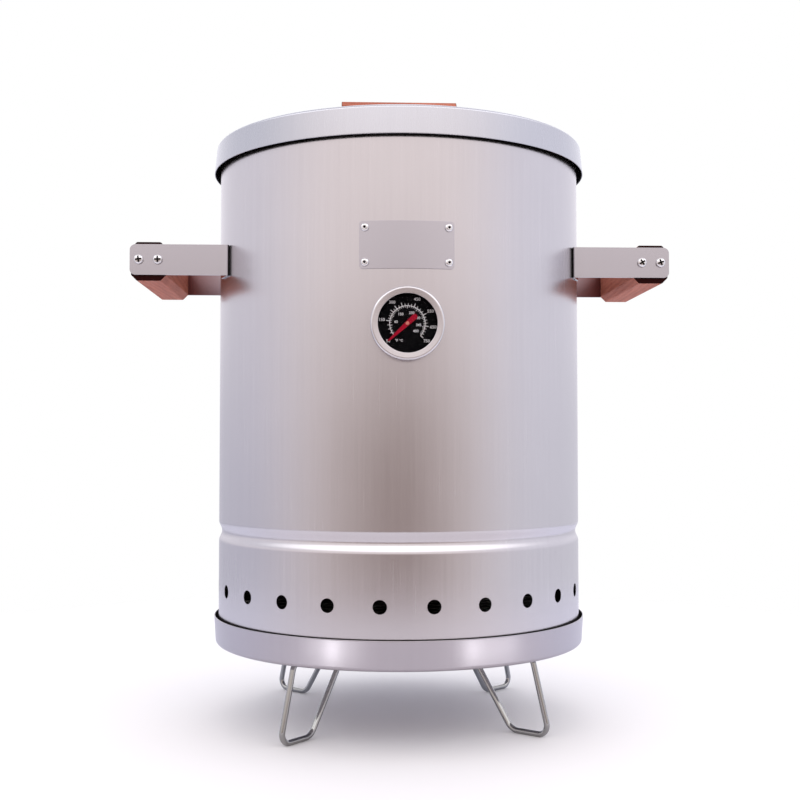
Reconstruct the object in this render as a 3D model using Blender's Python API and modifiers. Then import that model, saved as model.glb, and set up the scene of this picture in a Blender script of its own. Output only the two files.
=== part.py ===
"""Vertical water smoker: a stainless barrel in a base tray on four folding wire legs, with a lift-off lid.

Metres, +Z up. The barrel's axis is the Z axis, the legs stand on Z = 0, and the thermometer faces -Y.
An azimuth turns from the front, -Y, towards +X.
"""

import math

import bmesh
import bpy
from mathutils import Matrix, Vector

# Clearances and facets
SEAT_GAP = 0.0003
WELD_DISTANCE = 0.000001
SHELL_STEPS = 48
RING_STEPS = 32
FITTING_STEPS = 24
ROUND_STEPS = 12
FASTENER_STEPS = 8
BEND_STEPS = 3
SMOOTH_ANGLE = math.radians(30)
WIRE_SIDES = 8
GRID_SIDES = 6
CUT_PAST = 0.010
ROUND_BEVEL = 0.5

# Barrel
BARREL_RADIUS = 0.200
BARREL_HEIGHT = 0.542
BARREL_SHEET = 0.0010
BEAD_HEIGHT = 0.1204
BEAD_WIDTH = 0.022
BEAD_DEPTH = 0.0033
BEAD_STEPS = 6
AIR_HOLE_COUNT = 24
AIR_HOLE_RADIUS = 0.007
AIR_HOLE_HEIGHT = 0.0596

# Base tray
TRAY_PLAY = 0.0020
TRAY_FLARE = 0.0016
TRAY_DEPTH = 0.030
TRAY_SHEET = 0.0012
TRAY_CORNER = 0.004

# Folding legs and their clips
LEG_HEIGHT = 0.084
LEG_AZIMUTHS = {"front_left": -40, "front_right": 51, "rear_right": 132, "rear_left": -133}
LEG_WIRE_RADIUS = 0.003
LEG_EDGE_INSET = 0.0312
LEG_PIVOT_LENGTH = 0.077
LEG_SPLAY = 0.017
LEG_FOOT_LENGTH = 0.042
LEG_BEND = 0.010
FOOT_FLAT = 0.0004
CLIP_SHEET = 0.0012
CLIP_LENGTH = 0.036
CLIP_END_INSET = 0.013
CLIP_FLANGE = 0.008

# Charcoal grate
CHARCOAL_PLAY = 0.010
CHARCOAL_WIRE_RADIUS = 0.003
CHARCOAL_BAR_RADIUS = 0.0025
CHARCOAL_PITCH = 0.026
CHARCOAL_FOOT_LENGTH = 0.022
CHARCOAL_FOOT_AZIMUTHS = (0, 120, 240)

# Cooking grates and the straps that carry them
UPPER_GRATE_DROP = 0.1526
GRATE_SPACING = 0.148
UPPER_GRATE_PLAY = 0.007
LOWER_GRATE_PLAY = 0.021
GRATE_WIRE_RADIUS = 0.003
GRATE_BAR_RADIUS = 0.002
GRATE_PITCH = 0.024
GRATE_STAY_SPACING = 0.150
WIRE_WELD = 0.0006
STRAP_AZIMUTHS = {"right": 60, "rear": 180, "left": 300}
STRAP_SHEET = 0.0015
STRAP_WIDTH = 0.020
STRAP_END = 0.020
LEDGE_OVERLAP = 0.010

# Water pan and its rack
RACK_WIRE_RADIUS = 0.0025
RACK_SEAT_SHARE = 0.25
RACK_SPOKE_AZIMUTHS = (0, 60, 120, 180, 240, 300)
PAN_RADIUS = 0.138
PAN_DEPTH = 0.060
PAN_LEAN = 0.010
PAN_CORNER = 0.012
PAN_RIM = 0.013
PAN_SHEET = 0.0010

# Side handles
HANDLE_DROP = 0.1326
HANDLE_SPAN = 0.170
HANDLE_REACH = 0.087
BRACKET_SHEET = 0.002
BRACKET_HEIGHT = 0.0325
BRACKET_CORNER = 0.006
BRACKET_BEND = 0.003
BRACKET_INNER_BEND = 0.001
FLANGE_LENGTH = 0.028
FLANGE_RIVET_INSET = 0.011
FLANGE_RIVET_RISE = 0.018
GRIP_WIDTH = 0.037
GRIP_HEIGHT = 0.041
GRIP_CHAMFER = 0.006
GRIP_END_INSET = 0.001
GRIP_DROP = 0.0016
GRIP_SCREW_SPACING = 0.020

# Screws
SCREW_RADIUS = 0.0025
SCREW_LENGTH = 0.022
SCREW_HEAD_RADIUS = 0.005
SCREW_HEAD_HEIGHT = 0.0034
SCREW_TIP = 0.003
SCREW_EDGE_SHARE = 0.35
SCREW_DOME_STEPS = 3
RECESS_LENGTH = 0.0060
RECESS_WIDTH = 0.0013
RECESS_DEPTH = 0.0016
PILOT_PAST = 0.002

# Blind rivets
RIVET_RADIUS = 0.002
RIVET_HEAD_RADIUS = 0.004
RIVET_HEAD_HEIGHT = 0.0018
RIVET_SHOULDER_SHARE = 0.85
RIVET_EDGE_SHARE = 0.3
MANDREL_RADIUS = 0.0014
MANDREL_DEPTH = 0.0011
RIVET_BULB_RADIUS = 0.003
RIVET_BULB_LENGTH = 0.003
RIVET_BULB_STRAIGHT = 0.0021
WALL_RIVET_PLAY = 0.0012

# Nameplate
PLATE_DROP = 0.1346
PLATE_LENGTH = 0.0932
PLATE_HEIGHT = 0.0464
PLATE_SHEET = 0.0010
PLATE_CORNER = 0.003
PLATE_STEPS = 8
PLATE_RIVET_SPAN = 0.082
PLATE_RIVET_RISE = 0.034

# Thermometer, with depths measured out from the barrel's wall
THERMO_DROP = 0.2116
BEZEL_RADIUS = 0.035
BEZEL_WALL = 0.0017
BEZEL_LIP = 0.0065
BEZEL_LIP_SHEET = 0.0012
BEZEL_ROUND = 0.0015
BEZEL_SKIRT = 0.0105
CASE_SHEET = 0.0012
CASE_LEDGE = 0.0025
CASE_LEDGE_DEPTH = 0.0050
CASE_DEPTH = 0.0097
DIAL_SHEET = 0.0008
LENS_SHEET = 0.0018
SPINDLE_RADIUS = 0.0009
SPINDLE_DEPTH = 0.0084
STEM_FLANGE_RADIUS = 0.008
STEM_FLANGE_SHEET = 0.0012
BUSH_RADIUS = 0.005
BUSH_LENGTH = 0.014
PROBE_RADIUS = 0.003
PROBE_LENGTH = 0.072
NUT_RADIUS = 0.0081
NUT_HEIGHT = 0.005
NUT_SIDES = 6
NUT_PLAY = 0.0006
POINTER_LIFT = 0.0007
POINTER_SHEET = 0.0008
POINTER_LENGTH = 0.0235
POINTER_HALF_WIDTH = 0.0008
POINTER_HUB_RADIUS = 0.0030
POINTER_TAIL_LENGTH = 0.0115
POINTER_TAIL_HALF_WIDTH = 0.0026
POINTER_REST = math.radians(132.5)

# Lid
LID_PLAY = 0.0027
LID_FLARE = 0.0033
LID_DEPTH = 0.0295
LID_SHEET = 0.0010
LID_CORNER = 0.005

# Lid handle
LID_GRIP_LENGTH = 0.130
LID_GRIP_WIDTH = 0.032
LID_GRIP_HEIGHT = 0.028
LID_POST_SPACING = 0.086
LID_POST_RADIUS = 0.007
LID_POST_HEIGHT = 0.030
LID_SCREW_BITE = 0.018
POST_BORE_PLAY = 0.0005

# Vent in the lid
VENT_OFFSET = 0.120
VENT_HOLE_COUNT = 4
VENT_HOLE_RADIUS = 0.0068
VENT_CIRCLE = 0.020
DAMPER_RADIUS = 0.034
DAMPER_SHEET = 0.0012
DAMPER_TAB_REACH = 0.050
DAMPER_TAB_HALF_WIDTH = 0.007
VENT_RIVET_RADIUS = 0.0025
VENT_RIVET_HEAD_RADIUS = 0.006
VENT_RIVET_PLAY = 0.0009


def pan_inside(foot_radius, corner, sheet, radius):
    """Height of a drawn pan's inner floor at a radius, above its underside."""
    into_corner = max(0.0, radius - (foot_radius - corner))
    inner_bend = corner - sheet
    return corner - math.sqrt(inner_bend**2 - into_corner**2)


# Sizes and places that follow from the driving dimensions
BARREL_INSIDE = BARREL_RADIUS - BARREL_SHEET
TRAY_FOOT_RADIUS = BARREL_RADIUS + TRAY_PLAY + TRAY_SHEET
TRAY_RIM_RADIUS = TRAY_FOOT_RADIUS + TRAY_FLARE
TRAY_FLOOR = LEG_HEIGHT + TRAY_SHEET
BARREL_SEAT = pan_inside(TRAY_FOOT_RADIUS, TRAY_CORNER, TRAY_SHEET, BARREL_RADIUS)
BARREL_FOOT = LEG_HEIGHT + BARREL_SEAT + SEAT_GAP
BARREL_TOP = BARREL_FOOT + BARREL_HEIGHT
BEAD_Z = BARREL_FOOT + BEAD_HEIGHT
LID_TOP_RADIUS = BARREL_RADIUS + LID_PLAY + LID_SHEET
LID_SKIRT_RADIUS = LID_TOP_RADIUS + LID_FLARE
LID_TOP = BARREL_TOP + SEAT_GAP + pan_inside(LID_TOP_RADIUS, LID_CORNER, LID_SHEET, BARREL_RADIUS)
LID_UNDER = LID_TOP - LID_SHEET
LEG_PIVOT_Z = LEG_HEIGHT - SEAT_GAP - LEG_WIRE_RADIUS
LEG_PIVOT_OUTER = TRAY_FOOT_RADIUS - LEG_EDGE_INSET
LEG_PIVOT_INNER = LEG_PIVOT_OUTER - LEG_PIVOT_LENGTH
HANDLE_Z = BARREL_TOP - HANDLE_DROP
PLATE_Z = BARREL_TOP - PLATE_DROP
THERMO_Z = BARREL_TOP - THERMO_DROP
UPPER_LEDGE_Z = BARREL_TOP - UPPER_GRATE_DROP
LOWER_LEDGE_Z = UPPER_LEDGE_Z - GRATE_SPACING
GRIP_X = BARREL_RADIUS + HANDLE_REACH - GRIP_END_INSET - GRIP_WIDTH / 2
GRIP_LENGTH = HANDLE_SPAN - 2 * (BRACKET_SHEET + SEAT_GAP)
FLANGE_FACE = BARREL_RADIUS + SEAT_GAP + BRACKET_SHEET
PLATE_FACE = BARREL_RADIUS + SEAT_GAP + PLATE_SHEET
RIVET_HOLE_RADIUS = RIVET_RADIUS + SEAT_GAP
SCREW_HOLE_RADIUS = SCREW_RADIUS + SEAT_GAP


# Scene and finishes
def clear_scene():
    for obj in list(bpy.data.objects):
        bpy.data.objects.remove(obj, do_unlink=True)


def new_collection(name):
    made = bpy.data.collections.new(name)
    bpy.context.scene.collection.children.link(made)
    return made


def finish(name, colour, roughness, metallic):
    made = bpy.data.materials.new(name)
    made.use_nodes = True
    shader = made.node_tree.nodes["Principled BSDF"]
    shader.inputs["Base Color"].default_value = (*colour, 1.0)
    shader.inputs["Roughness"].default_value = roughness
    shader.inputs["Metallic"].default_value = metallic
    made.diffuse_color = (*colour, 1.0)
    return made


clear_scene()
PARTS = new_collection("vertical_water_smoker")
CUTTERS = new_collection("cutters")
BRUSHED_SHEET = finish("brushed_sheet", (0.60, 0.59, 0.63), 0.34, 1.0)
PLATED_WIRE = finish("plated_wire", (0.66, 0.66, 0.68), 0.25, 1.0)
POLISHED_STEEL = finish("polished_steel", (0.75, 0.75, 0.77), 0.16, 1.0)
RED_WOOD = finish("red_wood", (0.32, 0.13, 0.10), 0.48, 0.0)
BLACK_DIAL = finish("black_dial", (0.02, 0.02, 0.022), 0.45, 0.0)
RED_POINTER = finish("red_pointer", (0.62, 0.05, 0.04), 0.35, 0.0)
CLEAR_LENS = finish("clear_lens", (0.90, 0.93, 0.93), 0.04, 0.0)


# Frames
def outward(azimuth, radius, height):
    """Frame on the barrel's wall: local z points out, local y up and local x along the wall."""
    return (
        Matrix.Rotation(azimuth, 4, "Z")
        @ Matrix.Translation((0, -radius, height))
        @ Matrix.Rotation(math.pi / 2, 4, "X")
    )


def spoke(azimuth):
    """Frame about the barrel's axis: local x points out at this azimuth, and local z up."""
    return Matrix.Rotation(azimuth - math.pi / 2, 4, "Z")


def arc(centre_x, centre_y, radius, start, end, steps):
    """Points on an arc between two angles in radians, both ends included."""
    angles = [start + (end - start) * i / steps for i in range(steps + 1)]
    return [(centre_x + radius * math.cos(a), centre_y + radius * math.sin(a)) for a in angles]


def circle(centre_x, centre_y, radius, steps):
    """Points round a full circle, with no point twice."""
    return arc(centre_x, centre_y, radius, 0, math.tau * (steps - 1) / steps, steps - 1)


def rounded(corners, steps):
    """Outline with each (x, y, bend radius) corner turned into an arc, or kept where the radius is 0."""
    outline = []
    for i, (x, y, radius) in enumerate(corners):
        here = Vector((x, y))
        if not radius:
            outline.append((x, y))
            continue
        back = (Vector(corners[i - 1][:2]) - here).normalized()
        ahead = (Vector(corners[(i + 1) % len(corners)][:2]) - here).normalized()
        half = back.angle(ahead) / 2
        centre = here + (back + ahead).normalized() * radius / math.sin(half)
        first = here + back * radius / math.tan(half) - centre
        last = here + ahead * radius / math.tan(half) - centre
        turn = first.angle_signed(last)
        for step in range(steps + 1):
            swing = Matrix.Rotation(-turn * step / steps, 2)
            outline.append(tuple(centre + swing @ first))
    return outline


# Meshes
def baked(obj):
    """The object's evaluated mesh, welded and facing out. The object and its cutters are removed."""
    bpy.context.view_layer.update()
    graph = bpy.context.evaluated_depsgraph_get()
    mesh = bpy.data.meshes.new_from_object(obj.evaluated_get(graph))
    cutters = [modifier.object for modifier in obj.modifiers if modifier.type == "BOOLEAN"]
    for used in [obj, *cutters]:
        bpy.data.objects.remove(used, do_unlink=True)
    bm = bmesh.new()
    bm.from_mesh(mesh)
    bmesh.ops.remove_doubles(bm, verts=bm.verts, dist=WELD_DISTANCE)
    bmesh.ops.recalc_face_normals(bm, faces=bm.faces)
    bm.to_mesh(mesh)
    bm.free()
    mesh.shade_smooth()
    mesh.set_sharp_from_angle(angle=SMOOTH_ANGLE)
    return mesh


def holder(name, data):
    """A plain object that holds data until it is baked."""
    obj = bpy.data.objects.new(name, data)
    PARTS.objects.link(obj)
    return obj


def turned(name, profile, steps, closed=False):
    """Mesh turned about Z from (radius, height) points, which run from axis to axis unless closed."""
    mesh = bpy.data.meshes.new(name)
    points = [(radius, 0, height) for radius, height in profile]
    edges = [(i, i + 1) for i in range(len(points) - 1)]
    if closed:
        edges.append((len(points) - 1, 0))
    mesh.from_pydata(points, edges, [])
    obj = holder(name, mesh)
    screw = obj.modifiers.new("turn", "SCREW")
    screw.steps = steps
    screw.render_steps = steps
    screw.use_merge_vertices = True
    screw.merge_threshold = WELD_DISTANCE
    return baked(obj)


def sheet_outline(name, outlines, thickness):
    """Flat plate in XY, centred on Z = 0. Outlines inside the first one are holes."""
    curve = bpy.data.curves.new(name, "CURVE")
    curve.dimensions = "2D"
    curve.fill_mode = "BOTH"
    curve.extrude = thickness / 2
    for outline in outlines:
        spline = curve.splines.new("POLY")
        spline.points.add(len(outline) - 1)
        spline.use_cyclic_u = True
        for point, (x, y) in zip(spline.points, outline):
            point.co = (x, y, 0, 1)
    return baked(holder(name, curve))


def wire(name, points, radius, sides, closed):
    """Round wire along points, with capped ends unless closed."""
    curve = bpy.data.curves.new(name, "CURVE")
    curve.dimensions = "3D"
    curve.bevel_depth = radius
    curve.bevel_resolution = (sides - 4) // 2
    curve.use_fill_caps = True
    spline = curve.splines.new("POLY")
    spline.points.add(len(points) - 1)
    spline.use_cyclic_u = closed
    for point, place in zip(spline.points, points):
        point.co = (*place, 1)
    return baked(holder(name, curve))


def ring(name, radius, height, wire_radius, sides):
    """Closed wire ring about the Z axis."""
    path = [(x, y, height) for x, y in circle(0, 0, radius, RING_STEPS)]
    return wire(name, path, wire_radius, sides, True)


def rods(name, radius, sides, places):
    """Straight rods in one mesh, each a (frame, length) centred on its frame along local z."""
    bm = bmesh.new()
    for frame, length in places:
        bmesh.ops.create_cone(
            bm,
            cap_ends=True,
            segments=sides,
            radius1=radius,
            radius2=radius,
            depth=length,
            matrix=frame,
        )
    mesh = bpy.data.meshes.new(name)
    bm.to_mesh(mesh)
    bm.free()
    return mesh


def block(name, size, chamfer):
    """Box centred on the origin, with its four long edges along X chamfered."""
    bm = bmesh.new()
    bmesh.ops.create_cube(bm, size=1, matrix=Matrix.Diagonal((*size, 1)))
    if chamfer:
        along = [e for e in bm.edges if abs(e.verts[0].co.x - e.verts[1].co.x) > size[0] / 2]
        bmesh.ops.bevel(bm, geom=along, offset=chamfer, segments=1, affect="EDGES")
    mesh = bpy.data.meshes.new(name)
    bm.to_mesh(mesh)
    bm.free()
    return mesh


def mirrored(mesh, across_x, across_y):
    """Copy of a mesh mirrored across the planes X = 0 and Y = 0."""
    copy = mesh.copy()
    flips = Matrix.Diagonal((-1 if across_x else 1, -1 if across_y else 1, 1, 1))
    copy.transform(flips)
    if across_x != across_y:
        copy.flip_normals()
    return copy


# Pieces
def boolean(obj, mesh, operation, frame=Matrix()):
    """Cuts a mesh from a piece or joins it on, and keeps it as a hidden helper."""
    helper = bpy.data.objects.new(f"{obj.name}_{operation.lower()}", mesh)
    CUTTERS.objects.link(helper)
    helper.matrix_world = frame
    helper.hide_render = True
    helper.display_type = "WIRE"
    modifier = obj.modifiers.new(operation.lower(), "BOOLEAN")
    modifier.operation = operation
    modifier.object = helper


def pivot(name, place, parent=None):
    """Empty on a joint's axis, which carries the pieces that move together."""
    empty = bpy.data.objects.new(name, None)
    PARTS.objects.link(empty)
    ride(empty, parent)
    empty.location = place
    bpy.context.view_layer.update()
    return empty


def ride(obj, carrier):
    """Parents a piece to its carrier and leaves it where it is."""
    if carrier:
        obj.parent = carrier
        obj.matrix_parent_inverse = carrier.matrix_world.inverted()


def piece(name, mesh, material, carrier, frame=Matrix()):
    """One named sub-part."""
    mesh.materials.clear()
    mesh.materials.append(material)
    obj = bpy.data.objects.new(name, mesh)
    PARTS.objects.link(obj)
    ride(obj, carrier)
    obj.matrix_basis = frame
    return obj


# Base tray, legs and clips
def pan_profile(foot_radius, rim_radius, depth, corner, sheet, rim=0.0):
    """Drawn pan from inner floor to underside, standing on height 0, with a flat rim that turns out."""
    centre = foot_radius - corner
    inside = arc(centre, corner, corner - sheet, -math.pi / 2, 0, BEND_STEPS)
    outside = arc(centre, corner, corner, 0, -math.pi / 2, BEND_STEPS)
    lip = [(rim_radius - sheet, depth), (rim_radius + rim, depth)]
    if rim:
        lip += [(rim_radius + rim, depth - sheet), (rim_radius, depth - sheet)]
    return [(0, sheet), *inside, *lip, *outside, (0, 0)]


def base_tray(base):
    profile = pan_profile(TRAY_FOOT_RADIUS, TRAY_RIM_RADIUS, TRAY_DEPTH, TRAY_CORNER, TRAY_SHEET)
    lifted = [(radius, LEG_HEIGHT + height) for radius, height in profile]
    piece("base_tray", turned("base_tray", lifted, SHELL_STEPS), BRUSHED_SHEET, base)


def leg_mesh():
    """Closed wire loop in the XZ plane with its pivot rod along X at height 0, pressed flat underfoot."""
    foot_outer = LEG_PIVOT_OUTER + LEG_SPLAY
    foot_z = LEG_WIRE_RADIUS - FOOT_FLAT - LEG_PIVOT_Z
    corners = [
        (LEG_PIVOT_INNER, 0, LEG_BEND),
        (LEG_PIVOT_OUTER, 0, LEG_BEND),
        (foot_outer, foot_z, LEG_BEND),
        (foot_outer - LEG_FOOT_LENGTH, foot_z, LEG_BEND),
    ]
    path = [(x, 0, z) for x, z in rounded(corners, BEND_STEPS)]
    loop = holder("leg", wire("leg", path, LEG_WIRE_RADIUS, WIRE_SIDES, True))
    ground = block("ground", (TRAY_RIM_RADIUS, CUT_PAST, CUT_PAST), 0)
    boolean(loop, ground, "DIFFERENCE", Matrix.Translation((foot_outer, 0, -LEG_PIVOT_Z - CUT_PAST / 2)))
    return baked(loop)


def clip_mesh():
    """Saddle over the pivot rod, drawn across X with its run along Z and the rod at the origin."""
    bore = LEG_WIRE_RADIUS + SEAT_GAP
    hump = bore + CLIP_SHEET
    top = LEG_WIRE_RADIUS
    edge = hump + CLIP_FLANGE
    inner = arc(0, 0, bore, -math.pi, 0, 2 * BEND_STEPS)
    outer = arc(0, 0, hump, 0, -math.pi, 2 * BEND_STEPS)
    under = top - CLIP_SHEET
    outline = [
        (-edge, top),
        (-bore, top),
        *inner,
        (bore, top),
        (edge, top),
        (edge, under),
        (hump, under),
        *outer,
        (-hump, under),
        (-edge, under),
    ]
    return sheet_outline("leg_clip", [outline], CLIP_LENGTH)


def legs_and_clips(base):
    leg = leg_mesh()
    clip = clip_mesh()
    clip_middle = LEG_PIVOT_OUTER - CLIP_END_INSET - CLIP_LENGTH / 2
    along_spoke = Matrix(((0, 0, 1, 0), (1, 0, 0, 0), (0, 1, 0, 0), (0, 0, 0, 1)))
    for side, degrees in LEG_AZIMUTHS.items():
        turn = spoke(math.radians(degrees))
        leg_pivot = pivot(f"{side}_leg_pivot", turn @ Vector((LEG_PIVOT_OUTER, 0, LEG_PIVOT_Z)), base)
        piece(f"leg_{side}", leg, PLATED_WIRE, leg_pivot, turn @ Matrix.Translation((0, 0, LEG_PIVOT_Z)))
        seat = turn @ Matrix.Translation((clip_middle, 0, LEG_PIVOT_Z)) @ along_spoke
        piece(f"leg_clip_{side}", clip, BRUSHED_SHEET, base, seat)


# Wire grids
def grid(name, radius, seat, wire_radius, bar_radius, pitch, carrier):
    """Round wire grid: a ring on the seat height, two stays level with it, and bars welded on top."""
    middle = seat + SEAT_GAP + wire_radius
    bar_z = middle + wire_radius + bar_radius - WIRE_WELD
    hoop = ring(name, radius, middle, wire_radius, GRID_SIDES)
    obj = piece(name, hoop, PLATED_WIRE, carrier)
    stays = []
    for x in (-GRATE_STAY_SPACING / 2, GRATE_STAY_SPACING / 2):
        frame = Matrix.Translation((x, 0, middle)) @ Matrix.Rotation(math.pi / 2, 4, "X")
        stays.append((frame, 2 * math.sqrt(radius**2 - x**2)))
    boolean(obj, rods(f"{name}_stays", wire_radius, GRID_SIDES, stays), "UNION")
    most = int((radius - pitch / 2) / pitch)
    bars = []
    for i in range(-most, most + 1):
        frame = Matrix.Translation((0, i * pitch, bar_z)) @ Matrix.Rotation(math.pi / 2, 4, "Y")
        bars.append((frame, 2 * math.sqrt((radius + bar_radius) ** 2 - (i * pitch) ** 2)))
    boolean(obj, rods(f"{name}_bars", bar_radius, GRID_SIDES, bars), "UNION")
    return obj


def charcoal_grate(carrier):
    radius = BARREL_INSIDE - CHARCOAL_PLAY - CHARCOAL_WIRE_RADIUS
    foot = TRAY_FLOOR + SEAT_GAP
    obj = grid(
        "charcoal_grate",
        radius,
        foot + CHARCOAL_FOOT_LENGTH,
        CHARCOAL_WIRE_RADIUS,
        CHARCOAL_BAR_RADIUS,
        CHARCOAL_PITCH,
        carrier,
    )
    length = CHARCOAL_FOOT_LENGTH + CHARCOAL_WIRE_RADIUS
    feet = []
    for degrees in CHARCOAL_FOOT_AZIMUTHS:
        frame = spoke(math.radians(degrees)) @ Matrix.Translation((radius, 0, foot + length / 2))
        feet.append((frame, length))
    boolean(obj, rods("charcoal_feet", CHARCOAL_WIRE_RADIUS, GRID_SIDES, feet), "UNION")


def grate_radius(play):
    return BARREL_INSIDE - play - GRATE_WIRE_RADIUS


def cooking_grate(name, play, ledge, carrier):
    grid(name, grate_radius(play), ledge, GRATE_WIRE_RADIUS, GRATE_BAR_RADIUS, GRATE_PITCH, carrier)


def grate_straps(barrel):
    """Upright straps on the inside of the wall, each with a ledge under either cooking grate."""
    flat_wall = BARREL_INSIDE * math.cos(math.pi / SHELL_STEPS)
    back = math.sqrt(flat_wall**2 - (STRAP_WIDTH / 2) ** 2) - SEAT_GAP
    face = back - STRAP_SHEET
    outline = [(back, LOWER_LEDGE_Z - STRAP_END), (back, UPPER_LEDGE_Z + STRAP_END)]
    outline.append((face, UPPER_LEDGE_Z + STRAP_END))
    for ledge, play in ((UPPER_LEDGE_Z, UPPER_GRATE_PLAY), (LOWER_LEDGE_Z, LOWER_GRATE_PLAY)):
        reach = BARREL_INSIDE - play - LEDGE_OVERLAP
        under = ledge - STRAP_SHEET
        outline += [(face, ledge), (reach, ledge), (reach, under), (face, under)]
    outline.append((face, LOWER_LEDGE_Z - STRAP_END))
    mesh = sheet_outline("grate_strap", [outline], STRAP_WIDTH)
    for side, degrees in STRAP_AZIMUTHS.items():
        frame = spoke(math.radians(degrees)) @ Matrix.Rotation(math.pi / 2, 4, "X")
        piece(f"grate_strap_{side}", mesh, BRUSHED_SHEET, barrel, frame)


# Water pan and rack
def bead_depth(share):
    """Depth of the bead at a share of its width, from its upper edge to its lower edge."""
    return BEAD_DEPTH * (1 - math.cos(math.tau * share)) / 2


def rack_seat():
    """Radius and height of the rack's outer ring where it comes to rest on the bead's upper slope."""
    wall = BARREL_INSIDE - bead_depth(RACK_SEAT_SHARE)
    height = BEAD_Z + BEAD_WIDTH * (0.5 - RACK_SEAT_SHARE)
    slope = math.pi * BEAD_DEPTH * math.sin(math.tau * RACK_SEAT_SHARE) / BEAD_WIDTH
    lean = math.atan(slope)
    offset = RACK_WIRE_RADIUS + SEAT_GAP
    return wall - offset * math.cos(lean), height + offset * math.sin(lean)


def water_pan_rack(carrier):
    outer, height = rack_seat()
    inner = PAN_RADIUS + PAN_RIM / 2
    obj = piece(
        "water_pan_rack",
        ring("water_pan_rack", outer, height, RACK_WIRE_RADIUS, GRID_SIDES),
        PLATED_WIRE,
        carrier,
    )
    boolean(obj, ring("pan_ring", inner, height, RACK_WIRE_RADIUS, GRID_SIDES), "UNION")
    spokes = []
    for degrees in RACK_SPOKE_AZIMUTHS:
        place = Matrix.Translation(((inner + outer) / 2, 0, height)) @ Matrix.Rotation(math.pi / 2, 4, "Y")
        spokes.append((spoke(math.radians(degrees)) @ place, outer - inner))
    boolean(obj, rods("rack_spokes", RACK_WIRE_RADIUS, GRID_SIDES, spokes), "UNION")


def water_pan(carrier):
    profile = pan_profile(PAN_RADIUS - PAN_LEAN, PAN_RADIUS, PAN_DEPTH, PAN_CORNER, PAN_SHEET, PAN_RIM)
    underside = rack_seat()[1] + RACK_WIRE_RADIUS + SEAT_GAP - PAN_DEPTH + PAN_SHEET
    lifted = [(radius, underside + height) for radius, height in profile]
    piece("water_pan", turned("water_pan", lifted, RING_STEPS), BRUSHED_SHEET, carrier)


# Fasteners
def screw_mesh(name, length):
    """Pan-head screw with a cross recess. Its head sits on height 0 and its shank points down."""
    edge = SCREW_HEAD_HEIGHT * SCREW_EDGE_SHARE
    turns = [math.pi / 2 * i / SCREW_DOME_STEPS for i in range(SCREW_DOME_STEPS + 1)]
    dome = [
        (SCREW_HEAD_RADIUS * math.sin(a), edge + (SCREW_HEAD_HEIGHT - edge) * math.cos(a)) for a in turns
    ]
    shank = [(SCREW_RADIUS, 0), (SCREW_RADIUS, SCREW_TIP - length), (0, -length)]
    obj = holder(name, turned(name, [*dome, (SCREW_HEAD_RADIUS, 0), *shank], FASTENER_STEPS))
    arm = RECESS_LENGTH / 2
    half = RECESS_WIDTH / 2
    quarter = [(half, half), (half, arm), (-half, arm)]
    cross = [(Matrix.Rotation(i * math.pi / 2, 2) @ Vector(p))[:] for i in range(4) for p in quarter]
    recess = sheet_outline("recess", [cross], 2 * RECESS_DEPTH)
    boolean(obj, recess, "DIFFERENCE", Matrix.Translation((0, 0, SCREW_HEAD_HEIGHT)))
    return baked(obj)


def rivet_mesh(name, stack, radius=RIVET_RADIUS, head_radius=RIVET_HEAD_RADIUS):
    """Blind rivet through a stack of sheets, with its head on height 0 and its bulb below the stack."""
    swell = radius * RIVET_BULB_RADIUS / RIVET_RADIUS
    top = RIVET_HEAD_HEIGHT
    profile = [
        (0, top - MANDREL_DEPTH),
        (MANDREL_RADIUS, top - MANDREL_DEPTH),
        (MANDREL_RADIUS, top),
        ((MANDREL_RADIUS + head_radius) / 2, top * RIVET_SHOULDER_SHARE),
        (head_radius, top * RIVET_EDGE_SHARE),
        (head_radius, 0),
        (radius, 0),
        (radius, -stack),
        (swell, -stack),
        (swell, -stack - RIVET_BULB_STRAIGHT),
        (0, -stack - RIVET_BULB_LENGTH),
    ]
    return turned(name, profile, FASTENER_STEPS)


def wall_stack(sheet):
    """Length of a rivet's shank through a sheet laid on the barrel's wall."""
    return sheet + BARREL_SHEET + WALL_RIVET_PLAY


# Side handles
def flange_azimuth():
    """Azimuth of the flange rivets at the front of the right handle."""
    corner = math.acos((HANDLE_SPAN / 2 - BRACKET_SHEET) / FLANGE_FACE)
    return corner + (FLANGE_LENGTH - FLANGE_RIVET_INSET) / FLANGE_FACE


def flange_rivet_frames():
    """Frames of the strap flanges' rivets, by handle side and strap end, seated on the flange's face."""
    front = flange_azimuth()
    azimuths = {
        ("right", "front"): front,
        ("right", "rear"): math.pi - front,
        ("left", "front"): -front,
        ("left", "rear"): front - math.pi,
    }
    rises = {"lower": -FLANGE_RIVET_RISE / 2, "upper": FLANGE_RIVET_RISE / 2}
    return {
        (*where, level): outward(azimuth, FLANGE_FACE + SEAT_GAP, HANDLE_Z + rise)
        for where, azimuth in azimuths.items()
        for level, rise in rises.items()
    }


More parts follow.
